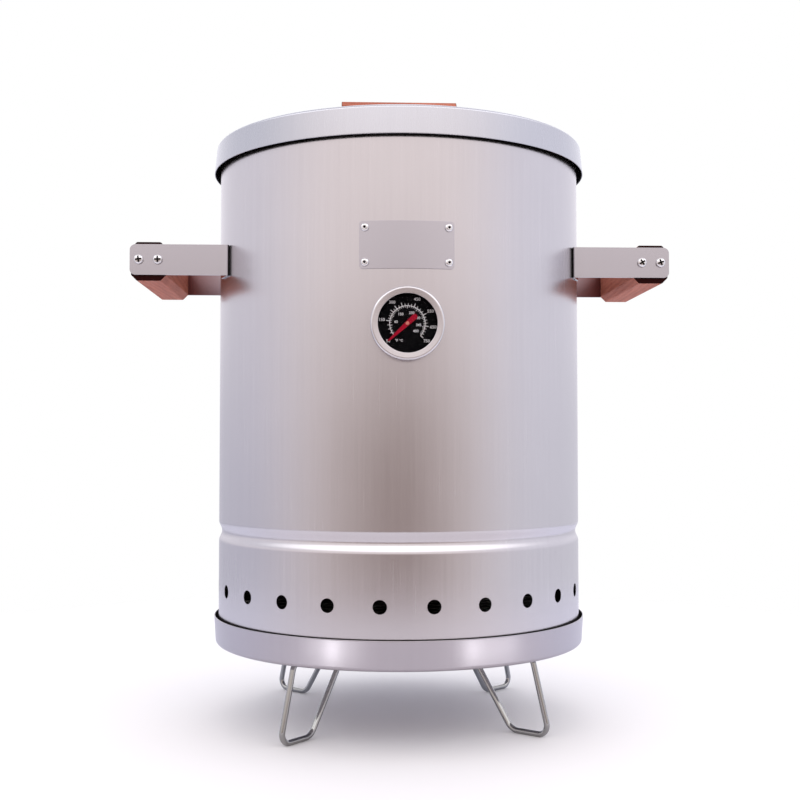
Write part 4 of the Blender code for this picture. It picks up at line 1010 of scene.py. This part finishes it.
for side, sign in SIDES.items():
    seat = at(sign * GRIP_X, 0, HANDLE_Z - GRIP_DROP) @ spun(90)
    piece(f"{side}_grip", grip, RED_WOOD, "barrel", seat)
    for end, facing in (("front", 0), ("rear", 180)):
        name = f"{side}_{end}"
        arm = mirrored(bracket, side == "left", end == "rear")
        piece(f"{name}_handle_strap", arm, None, "barrel")
        for where, x in GRIP_SCREWS.items():
            node = f"{name}_{where}_grip_screw"
            seat = spun(facing) @ at(-sign * x if facing else sign * x, 0, 0)
            seat = seat @ outward(0, HANDLE_HALF_SPAN + GAP, HANDLE_Z)
            seat = seat @ spun(SCREW_TURNS.get(f"{name}_{where}", REAR_SCREW_TURN))
            piece(node, grip_screw, None, "barrel", seat)
        azimuth = sign * (180 - FLANGE_RIVET_AZIMUTH if facing else FLANGE_RIVET_AZIMUTH)
        for level, rise in (("lower", -FLANGE_RIVET_RISE), ("upper", FLANGE_RIVET_RISE)):
            node = f"{name}_{level}_strap_rivet"
            seat = outward(azimuth, FLANGE_FACE, HANDLE_Z + rise)
            piece(node, strap_rivet, None, "barrel", seat)


# Nameplate: a bare plate of 1 mm brushed sheet, rolled to the wall and held by four blind rivets.
# Its brush lines run level, across those of the barrel.
PLATE_FACE = 0.2013
PLATE_SHEET = 0.001
PLATE_HALF_LENGTH = 0.0466
PLATE_HALF_HEIGHT = 0.0232
PLATE_CORNER = 0.003
PLATE_EDGE = 0.0002
PLATE_STEP = 0.00363
PLATE_Z = 0.49302
PLATE_RIVET_HALF = 0.041
PLATE_RIVET_RISE = 0.017
PLATE_STACK = 0.0032
PLATE_STEEL = brushed(
    "plate_steel", (0.54, 0.53, 0.575), 0.26, "along", (1300, 10),
    depth=0.05, uneven=0.03, bump=0.015,
)
plate_middle = PLATE_FACE - PLATE_SHEET / 2
drops = corner_drops(PLATE_CORNER, 15)
runs = [-PLATE_HALF_LENGTH + d for d in drops]
runs += [-PLATE_HALF_LENGTH + PLATE_CORNER + i * PLATE_STEP for i in range(1, 24)]
runs += [PLATE_HALF_LENGTH - d for d in reversed(drops)]
turns = [run / PLATE_FACE for run in runs]
path = [(plate_middle * math.sin(turn), -plate_middle * math.cos(turn)) for turn in turns]
insets = [min(PLATE_CORNER, PLATE_HALF_LENGTH - abs(run)) for run in runs]
halves = [corner_half(PLATE_HALF_HEIGHT, PLATE_CORNER, inset) for inset in insets]
badge = strip("nameplate", path, halves, PLATE_SHEET, PLATE_EDGE)
badge.transform(at(0, 0, PLATE_Z))
piece("nameplate", badge, PLATE_STEEL, "barrel")
plate_rivet = rivet("plate_rivet", PLATE_STACK)
for side, sign in SIDES.items():
    azimuth = math.degrees(sign * PLATE_RIVET_HALF / PLATE_FACE)
    for level, rise in (("lower", -PLATE_RIVET_RISE), ("upper", PLATE_RIVET_RISE)):
        seat = outward(azimuth, PLATE_FACE + GAP, PLATE_Z + rise)
        node = f"nameplate_rivet_{level}_{side}"
        piece(node, plate_rivet, None, "barrel", seat)


# Thermometer: a spun steel case on the wall. A threaded bush through both carries the probe.
# A lock nut inside the barrel draws the case tight.
THERMO_Z = 0.41602
CASE_RADIUS = 0.033
CASE_INSIDE = 0.0318
CASE_FRONT = 0.0097
CASE_FLOOR = 0.0015
CASE_CORNER = 0.001
DIAL_SEAT = 0.0050
DIAL_SEAT_INSIDE = CASE_INSIDE - 0.0025
BUSH_RADIUS = 0.005
BUSH_END = -0.014
THREADS = 14
THREAD_START = -0.001
THREAD_PITCH = 0.0009
THREAD_DEPTH = 0.0004
COLLAR_RADIUS = 0.008
COLLAR = (0.0018, 0.0030)
SPINDLE = 0.0009
SPINDLE_END = 0.0084
PROBE_RADIUS = 0.003
PROBE_END = -0.072
NUT_RADIUS = 0.0081
NUT_HEIGHT = 0.005
NUT_Z = -0.004267
NUT_EDGE = 0.0003
BEZEL_STEEL = brushed(
    "bezel_steel", (0.68, 0.665, 0.69), 0.24, "around", (1500, 20),
    depth=0.05, uneven=0.03, bump=0.04,
)
on_wall = outward(0, BARREL_RADIUS, THERMO_Z)
case = [
    (CASE_RADIUS, CASE_FRONT),
    *arc(CASE_RADIUS - CASE_CORNER, GAP + CASE_CORNER, CASE_CORNER, 0, -90, 5),
    (BUSH_RADIUS + GAP, GAP),
    (BUSH_RADIUS + GAP, CASE_FLOOR),
    (DIAL_SEAT_INSIDE, CASE_FLOOR),
    (DIAL_SEAT_INSIDE, DIAL_SEAT),
    (CASE_INSIDE, DIAL_SEAT),
    (CASE_INSIDE, CASE_FRONT),
]
case = turned("thermometer_case", case, 96, closed=True)
piece("thermometer_case", case, BEZEL_STEEL, "barrel", on_wall)

root = BUSH_RADIUS - THREAD_DEPTH
threads = []
for i in range(THREADS):
    z = THREAD_START - i * THREAD_PITCH
    threads += [(BUSH_RADIUS, z), (root, z - THREAD_PITCH / 2)]
stem = [
    (0, SPINDLE_END),
    (SPINDLE, SPINDLE_END - 0.0001),
    (SPINDLE, COLLAR[1]),
    (COLLAR_RADIUS, COLLAR[1]),
    (COLLAR_RADIUS, COLLAR[0]),
    (BUSH_RADIUS, COLLAR[0]),
    *threads,
    (BUSH_RADIUS, BUSH_END + THREAD_DEPTH),
    (root, BUSH_END),
    (PROBE_RADIUS, BUSH_END),
    *arc(0, PROBE_END + PROBE_RADIUS, PROBE_RADIUS, 0, -80, 8),
    (0, PROBE_END),
]
stem = turned("thermometer_stem", stem, 40)
piece("thermometer_stem", stem, POLISHED_STEEL, "barrel", on_wall)

hexagon = circle(0, 0, NUT_RADIUS, 6)
nut_bore = circle(0, 0, BUSH_RADIUS + GAP, 32)
nut = plate("thermometer_nut", [hexagon, nut_bore], NUT_HEIGHT, NUT_EDGE)
nut_seat = on_wall @ at(0, 0, NUT_Z)
piece("thermometer_nut", nut, POLISHED_STEEL, "barrel", nut_seat)


# Dial: a disc of black enamelled sheet, with scales in Fahrenheit and Celsius printed in white.
# The ink stands a few hundredths of a millimetre proud of the enamel.
def enamel(name, colour, roughness, speckle, gloss):
    """Paint or ink with a faint orange peel."""
    made, tree, shader = plain_finish(name)
    peel = noise(tree, add(tree, "TexCoord").outputs["Object"], 2600.0, 3.0)
    tone = sums(tree, "MULTIPLY_ADD", peel, speckle, 1.0 - speckle / 2)
    rough = sums(tree, "MULTIPLY_ADD", peel, 0.12, roughness - 0.06)
    surfaced(tree, shader, toned(tree, colour, tone), rough, peel, 0.08, 0.0001)
    feed(tree, shader, {"Specular IOR Level": gloss})
    return made


def dial_point(fahrenheit, radius):
    """Point on the dial at a reading, with x to the right and y up."""
    low = max(i for i, (mark, _) in enumerate(SCALE[:-1]) if mark <= fahrenheit)
    (start, high_turn), (end, low_turn) = SCALE[low : low + 2]
    share = (fahrenheit - start) / (end - start)
    turn = math.radians(high_turn + (low_turn - high_turn) * share)
    return Vector((radius * math.cos(turn), radius * math.sin(turn), 0))


def printed_tick(bm, fahrenheit, length, wide):
    """Printed tick from the scale's arc outwards, or inwards where the length is below 0."""
    start = dial_point(fahrenheit, SCALE_RADIUS)
    end = dial_point(fahrenheit, SCALE_RADIUS + length)
    across = Vector((start.y - end.y, end.x - start.x, 0)).normalized() * wide / 2
    corners = (start - across, end - across, end + across, start + across)
    bm.faces.new([bm.verts.new(corner) for corner in corners])


def printed_text(bm, text, size, middle):
    """Printed figures centred on a point."""
    centred = {"body": text, "size": size, "align_x": "CENTER", "align_y": "CENTER"}
    bold = {"offset": size * 0.006, "resolution_u": 3}
    curve = adjusted(bpy.data.curves.new("figures", "FONT"), {**centred, **bold})
    figures = applied(loose("figures", curve))
    figures.transform(at(*middle))
    bm.from_mesh(figures)


DIAL_FACE = 0.0061
DIAL_SHEET = 0.0008
DIAL_EDGE = 0.0315
SCALE = ((50, 222.5), (150, 172), (300, 126), (450, 68), (550, 28), (650, -8), (750, -42.5))
SCALE_RADIUS = 0.0170
SCALE_HALF = 0.00028
SCALE_STEPS = 140
OUTER_TICKS = {True: (0.0036, 0.0006), False: (0.0022, 0.0004)}
INNER_TICKS = {True: (-0.0026, 0.0005), False: (-0.0018, 0.00035)}
OUTER_FIGURES = (0.0042, 0.0250)
INNER_FIGURES = (0.0036, 0.0109)
UNITS = (("°F", 0.0036, -0.0105), ("°C", 0.0033, -0.0060))
UNITS_Y = -0.0165
INK = 0.00005
BLACK_DIAL = enamel("black_dial", (0.002, 0.002, 0.0025), 0.5, 0.3, 0.02)
WHITE_INK = enamel("white_ink", (0.70, 0.70, 0.71), 0.55, 0.08, 0.2)
eye = SPINDLE + GAP
dial_back = DIAL_FACE - DIAL_SHEET
face = [(eye, DIAL_FACE), (DIAL_EDGE, DIAL_FACE), (DIAL_EDGE, dial_back), (eye, dial_back)]
face = turned("thermometer_dial", face, 96, closed=True)
piece("thermometer_dial", face, BLACK_DIAL, "barrel", on_wall)

bm = bmesh.new()
rows = []
for reading in [50 + 700 * i / SCALE_STEPS for i in range(SCALE_STEPS + 1)]:
    radii = (SCALE_RADIUS - SCALE_HALF, SCALE_RADIUS + SCALE_HALF)
    rows.append([bm.verts.new(dial_point(reading, radius)) for radius in radii])
bridged(bm, rows, ring=False)
for fahrenheit in range(50, 751, 25):
    printed_tick(bm, fahrenheit, *OUTER_TICKS[fahrenheit % 100 == 50 or fahrenheit == 300])
for fahrenheit, _ in SCALE:
    printed_text(bm, str(fahrenheit), OUTER_FIGURES[0], dial_point(fahrenheit, OUTER_FIGURES[1]))
for celsius in range(10, 400, 10):
    printed_tick(bm, celsius * 1.8 + 32, *INNER_TICKS[celsius % 50 == 0])
for fahrenheit, _ in SCALE:
    celsius = 5 * round((fahrenheit - 32) / 9)
    printed_text(bm, str(celsius), INNER_FIGURES[0], dial_point(fahrenheit, INNER_FIGURES[1]))
for unit, size, x in UNITS:
    printed_text(bm, unit, size, Vector((x, UNITS_Y, 0)))
ink = thickened("dial_print", finished("dial_print", bm), INK)
ink_seat = on_wall @ at(0, 0, DIAL_FACE + INK)
piece("dial_print", ink, WHITE_INK, "barrel", ink_seat, extra=True)


# Pointer: stamped sheet painted red, slim at the reading and wide at its tail, on a pressed hub.
# It turns with the spindle of the bimetal coil, and rests at the low end of the scale.
POINTER_Z = 0.0068
POINTER_SHEET = 0.0008
POINTER_EDGE = 0.00015
POINTER_REST = 132.5
POINTER_TAIL = -0.0095
TAIL_HALF = 0.0026
HUB_RADIUS = 0.0018
RED_PAINT = enamel("red_paint", (0.27, 0.004, 0.018), 0.4, 0.12, 0.06)
HUB_PAINT = enamel("hub_paint", (0.60, 0.20, 0.16), 0.35, 0.1, 0.15)
right_edge = [(0.0008, 0.0250), (0.0020, 0.0040), (0.0024, -0.0015)]
tail = arc(0, POINTER_TAIL, TAIL_HALF, 0, -180, 10)
left_edge = [(-x, y) for x, y in right_edge]
hand = [left_edge[0], *right_edge, *tail, left_edge[2], left_edge[1]]
hand = plate("thermometer_pointer", [hand], POINTER_SHEET, POINTER_EDGE)
hand_seat = on_wall @ at(0, 0, POINTER_Z + POINTER_SHEET / 2)
hand_seat = hand_seat @ spun(POINTER_REST)
piece("thermometer_pointer", hand, RED_PAINT, "pointer", hand_seat)
hub = [(0, 0.0011), *arc(0, 0.0003, HUB_RADIUS, 60, 0, 6), (HUB_RADIUS, 0), (0, 0)]
hub = turned("pointer_hub", hub, 32, crease=50)
piece("pointer_hub", hub, HUB_PAINT, "pointer", hand_seat, extra=True)


# Glass and bezel: a flat clear disc under a spun ring of satin steel that is rolled over the case.
# The ring's outer corner is rounded, and its inner lip is trimmed square and deburred.
LENS_BACK = 0.0100
LENS_FACE = 0.0118
LENS_BEVEL = 0.0003
BEZEL_FRONT = 0.0133
BEZEL_BACK = 0.0028
BEZEL_RADIUS = 0.0356
BEZEL_INSIDE = 0.0333
BEZEL_LIP = 0.0285
BEZEL_LIP_BACK = 0.0121
BEZEL_CORNER = 0.0022
HEM = 0.0004
LIP_CORNER = 0.0003
CLEAR_GLASS, tree, shader = plain_finish("clear_glass")
smear = noise(tree, add(tree, "TexCoord").outputs["Object"], 60.0, 4.0)
clear = {"Base Color": (1.0, 1.0, 1.0, 1.0), "Transmission Weight": 1.0, "IOR": 1.06}
feed(tree, shader, {**clear, "Roughness": sums(tree, "MULTIPLY", smear, 0.05)})
edge = CASE_RADIUS - GAP
lens = [
    (0, LENS_FACE),
    (edge - LENS_BEVEL, LENS_FACE),
    (edge, LENS_FACE - LENS_BEVEL),
    (edge, LENS_BACK),
    (0, LENS_BACK),
]
lens = turned("thermometer_lens", lens, 96)
glass = piece("thermometer_lens", lens, CLEAR_GLASS, "barrel", on_wall)
glass.visible_shadow = False

ring = [
    *arc(BEZEL_RADIUS - BEZEL_CORNER, BEZEL_FRONT - BEZEL_CORNER, BEZEL_CORNER, 90, 0, 10),
    *arc(BEZEL_RADIUS - HEM, BEZEL_BACK + HEM, HEM, 0, -90, 4),
    (BEZEL_INSIDE, BEZEL_BACK),
    (BEZEL_INSIDE, BEZEL_LIP_BACK),
    (BEZEL_LIP, BEZEL_LIP_BACK),
    *arc(BEZEL_LIP + LIP_CORNER, BEZEL_FRONT - 2 * LIP_CORNER, LIP_CORNER, 180, 90, 4),
]
ring = turned("thermometer_bezel", ring, 128, closed=True)
piece("thermometer_bezel", ring, BEZEL_STEEL, "barrel", on_wall)


# Lid: a shallow pan drawn from 1 mm stainless sheet and turned over, resting on the barrel's rim.
# Its skirt flares a little, to drop over the barrel, and four vent holes are punched at the back.
LID_TOP_RADIUS = 0.2044
LID_SKIRT_RADIUS = 0.2070
LID_DEPTH = 0.0295
LID_CORNER = 0.0035
LID_SHEET = 0.001
LID_TOP = 0.62913
VENT_Y = 0.120
VENT_HOLE = 0.0068
VENT_CIRCLE = 0.020
VENT_PUNCH = 0.01
LID_STEEL = brushed(
    "lid_steel", (0.555, 0.56, 0.60), 0.27, "drawn", (1500, 10),
    depth=0.06, uneven=0.04, bump=0.010, spread=0.6,
)


def in_lid(centre, normal):
    """Whether a face lies on the lid's inside."""
    on_roof = normal.z < -0.7 and centre.z > LID_TOP - FLOOR_BAND
    return on_roof or faces_axis(centre, normal)


vents = arc(0, 0, VENT_CIRCLE, 45, 315, 3)
vent_places = [at(x, VENT_Y + y, LID_TOP) for x, y in vents]
lid = drawn_pan(LID_TOP_RADIUS, LID_SKIRT_RADIUS, LID_DEPTH, LID_CORNER, LID_SHEET)
lid = turned("lid_shell", [(r, LID_TOP - z) for r, z in lid], SHELL_STEPS)
lid = cut("lid_shell", lid, punches("vents", VENT_HOLE, VENT_PUNCH, 32, vent_places))
# The lid's inside takes the near-black painted shade, so the gap under its skirt reads black.
lid = faced(lid, (LID_STEEL, SHADE_PAINTED_STEEL), in_lid)
piece("lid_shell", lid, None, "lid")


# Lid handle: a chamfered bar of the same red hardwood on two turned steel posts.
# Long pan-head screws come up through the lid and the posts into the wood.
POST_FOOT = LID_TOP + GAP
POST_HEIGHT = 0.030
POST_RADIUS = 0.007
POST_BORE = 0.003
POST_EDGE = 0.0005
POST_X = 0.043
LID_GRIP_SIZE = (0.130, 0.032, 0.028)
LID_SCREW_LENGTH = 0.0501
grip_foot = POST_FOOT + POST_HEIGHT + GAP
lid_bar = bar("lid_grip", LID_GRIP_SIZE, GRIP_CHAMFER, GRIP_EDGE)
seat = at(0, 0, grip_foot + LID_GRIP_SIZE[2] / 2)
piece("lid_grip", lid_bar, RED_WOOD, "lid", seat)
post = [
    *arc(POST_RADIUS - POST_EDGE, POST_HEIGHT - POST_EDGE, POST_EDGE, 90, 0, 4),
    *arc(POST_RADIUS - POST_EDGE, POST_EDGE, POST_EDGE, 0, -90, 4),
    (POST_BORE, 0),
    (POST_BORE, POST_HEIGHT),
]
post = turned("lid_post", post, 48, closed=True)
lid_screw = screw("lid_screw", LID_SCREW_LENGTH)
for side, sign in SIDES.items():
    foot = at(sign * POST_X, 0, POST_FOOT)
    piece(f"lid_post_{side}", post, POLISHED_STEEL, "lid", foot)
    head = at(sign * POST_X, 0, LID_TOP - LID_SHEET - GAP) @ spun(180, "X")
    piece(f"lid_screw_{side}", lid_screw, None, "lid", head)


# Vent damper: a disc stamped from 1.2 mm sheet with a thumb tab and the same four holes as the lid.
# It turns on one blind rivet and closes the vents by an eighth of a turn.
DAMPER_RADIUS = 0.034
DAMPER_SHEET = 0.0012
DAMPER_EDGE = 0.0002
TAB_REACH = 0.050
TAB_HALF = 0.007
VENT_RIVET = {"stack": 0.0031, "radius": 0.0025, "head": 0.006}
tab_turn = math.degrees(math.asin(TAB_HALF / DAMPER_RADIUS))
disc = arc(0, 0, DAMPER_RADIUS, tab_turn, 360 - tab_turn, 72)
tab = arc(TAB_REACH - TAB_HALF, 0, TAB_HALF, -90, 90, 14)
openings = [circle(x, y, VENT_HOLE, 32) for x, y in vents]
damper = plate("vent_damper", [disc + tab, *openings], DAMPER_SHEET, DAMPER_EDGE)
seat = at(0, VENT_Y, LID_TOP + GAP + DAMPER_SHEET / 2)
piece("vent_damper", damper, STRAP_STEEL, "vent_damper", seat)
vent_rivet = rivet("vent_rivet", **VENT_RIVET)
seat = at(0, VENT_Y, LID_TOP + 2 * GAP + DAMPER_SHEET)
piece("vent_rivet", vent_rivet, None, "lid", seat)


# Studio: a pale round floor that fades into a white surround, and the photograph's camera.
# The surround is bright overhead, and dimmer low in front, where the camera stands, so that the
# steel shows a soft darker middle. Four low strips of light strike only the base tray.
def swing_ramp(tree, turn, start, end, smooth=True):
    """Value that goes from 0 to 1 between two angles in degrees."""
    return ramp(tree, turn, math.radians(start), math.radians(end), smooth)


SEEN_RADIUS = 1.05
SEEN_FADE = 0.72
SEEN_FLOOR = (0.94, 0.94, 0.94)
MIRRORED_RADIUS = 1.26
MIRRORED_FADE = 1.12
MIRRORED_GREY = 0.81
FRONT_TINT = (1.0, 0.965, 0.985)
SIDE_TINT = (0.955, 0.985, 1.10)
FLOOR_Z = -0.0002
PALE_FLOOR, tree, shader = plain_finish("pale_floor")
straight = add(tree, "LightPath").outputs["Is Camera Ray"]
where = add(tree, "TexCoord").outputs["Object"]
x, y, z = parted(tree, where)
distance = add(tree, "VectorMath", {0: where}, operation="LENGTH").outputs["Value"]
grey = sums(tree, "MULTIPLY_ADD", noise(tree, where, 90.0, 4.0), 0.02, MIRRORED_GREY)
grey = sums(tree, "MULTIPLY_ADD", ramp(tree, distance, 0.6, 0.95), -0.10, grey)
grey = sums(tree, "MULTIPLY_ADD", ramp(tree, x, 0.25, 0.55), 0.08, grey)
aside = sums(tree, "ABSOLUTE", azimuth_of(tree, x, y))
tint = blend(tree, swing_ramp(tree, aside, 30, 105), FRONT_TINT, SIDE_TINT)
seen = ramp(tree, distance, SEEN_RADIUS, SEEN_FADE)
in_steel = ramp(tree, distance, MIRRORED_RADIUS, MIRRORED_FADE)
fade = add(tree, "Mix", {0: straight, 2: in_steel, 3: seen}).outputs[0]
colour = blend(tree, straight, toned(tree, tint, grey), SEEN_FLOOR)
matt = {"Roughness": 0.9, "Specular IOR Level": 0.0}
feed(tree, shader, {"Base Color": colour, "Alpha": fade, **matt})
bm = bmesh.new()
bmesh.ops.create_circle(bm, cap_ends=True, segments=96, radius=MIRRORED_RADIUS)
floor = loose("floor", finished("floor", bm))
floor.location.z = FLOOR_Z
floor.data.materials.append(PALE_FLOOR)

LEFT_LOW, LEFT_HIGH, LEFT_TOP = (0.69, 0.69, 0.795), (0.955, 0.93, 1.005), (0.84, 0.845, 0.93)
RIGHT_LOW, RIGHT_HIGH = (0.86, 0.86, 0.94), (1.0, 0.99, 1.09)
AHEAD_LOW, AHEAD_HIGH = (0.90, 0.805, 0.78), (1.13, 1.03, 1.01)
CAMERA_SIDE = (0.315, 0.228, 0.20)
BACK_LIGHT = (1.35, 1.33, 1.40)
CEILING = (2.0, 1.95, 2.0)
WHITE = (1.0, 1.0, 1.0)
DIM_MIDDLE = -1
RIGHT_NARROWER = 1.25
world = bpy.data.worlds.new("surround")
bpy.context.scene.world = world
world.use_nodes = True
tree = world.node_tree
x, y, z = parted(tree, add(tree, "TexCoord").outputs["Generated"])
swing = sums(tree, "SUBTRACT", azimuth_of(tree, x, y), math.radians(DIM_MIDDLE))
turn = sums(tree, "ABSOLUTE", swing)
rightward = sums(tree, "MULTIPLY", swing, RIGHT_NARROWER)
from_middle = sums(tree, "MAXIMUM", rightward, sums(tree, "MULTIPLY", swing, -1.0))
rise = ramp(tree, z, -0.14, 0.22)
left = blend(tree, rise, LEFT_LOW, LEFT_HIGH)
left = blend(tree, ramp(tree, z, 0.25, 0.42), left, LEFT_TOP)
right = blend(tree, rise, RIGHT_LOW, RIGHT_HIGH)
light = blend(tree, ramp(tree, x, -0.7, 0.7), left, right)
ahead = blend(tree, ramp(tree, z, -0.08, 0.20), AHEAD_LOW, AHEAD_HIGH)
light = blend(tree, swing_ramp(tree, from_middle, 105, 35), light, ahead)
in_front = swing_ramp(tree, from_middle, 66, 0, smooth=False)
dim = sums(tree, "MULTIPLY", in_front, ramp(tree, z, 0.22, -0.06))
light = blend(tree, dim, light, CAMERA_SIDE)
behind = sums(tree, "MULTIPLY", swing_ramp(tree, turn, 125, 165), ramp(tree, z, 0.0, 0.2))
light = blend(tree, behind, light, BACK_LIGHT)
overhead = sums(tree, "MULTIPLY", ramp(tree, z, 0.42, 0.60), ramp(tree, z, 0.84, 0.72))
overhead = sums(tree, "MULTIPLY", overhead, swing_ramp(tree, turn, 115, 85))
light = blend(tree, overhead, light, CEILING)
straight = add(tree, "LightPath").outputs["Is Camera Ray"]
feed(tree, tree.nodes["Background"], {"Color": blend(tree, straight, light, WHITE)})

STRIP_HEIGHT = 0.028
STRIP_Z = 0.016
STRIP_AIM = Vector((0, 0, 0.10))
LOW_STRIPS = {
    "left": (-0.271, -0.410, 0.034, 0.0145),
    "left_wide": (-0.275, -0.408, 0.250, 0.016),
    "right": (0.260, -0.411, 0.034, 0.0085),
    "right_wide": (0.330, -0.358, 0.260, 0.024),
}
struck = bpy.data.collections.new("struck_by_strips")
struck.objects.link(base_tray)
for side, (x, y, width, power) in LOW_STRIPS.items():
    shape = {"shape": "RECTANGLE", "size": width, "size_y": STRIP_HEIGHT, "energy": power}
    light = adjusted(bpy.data.lights.new(f"low_strip_{side}", "AREA"), shape)
    lamp = loose(f"low_strip_{side}", light)
    lamp.location = (x, y, STRIP_Z)
    lamp.rotation_euler = (STRIP_AIM - lamp.location).to_track_quat("-Z", "Y").to_euler()
    lamp.visible_camera = False
    lamp.light_linking.receiver_collection = struck

view = bpy.data.cameras.new("photograph")
view.lens = 51.98
view.sensor_width = 36.0
camera = loose("photograph", view)
camera.location = (-0.0528, -1.3057, 0.3024)
camera.rotation_euler = (math.radians(92.10), 0, math.radians(-2.38))
bpy.context.scene.camera = camera
bpy.context.scene.view_settings.view_transform = "Standard"
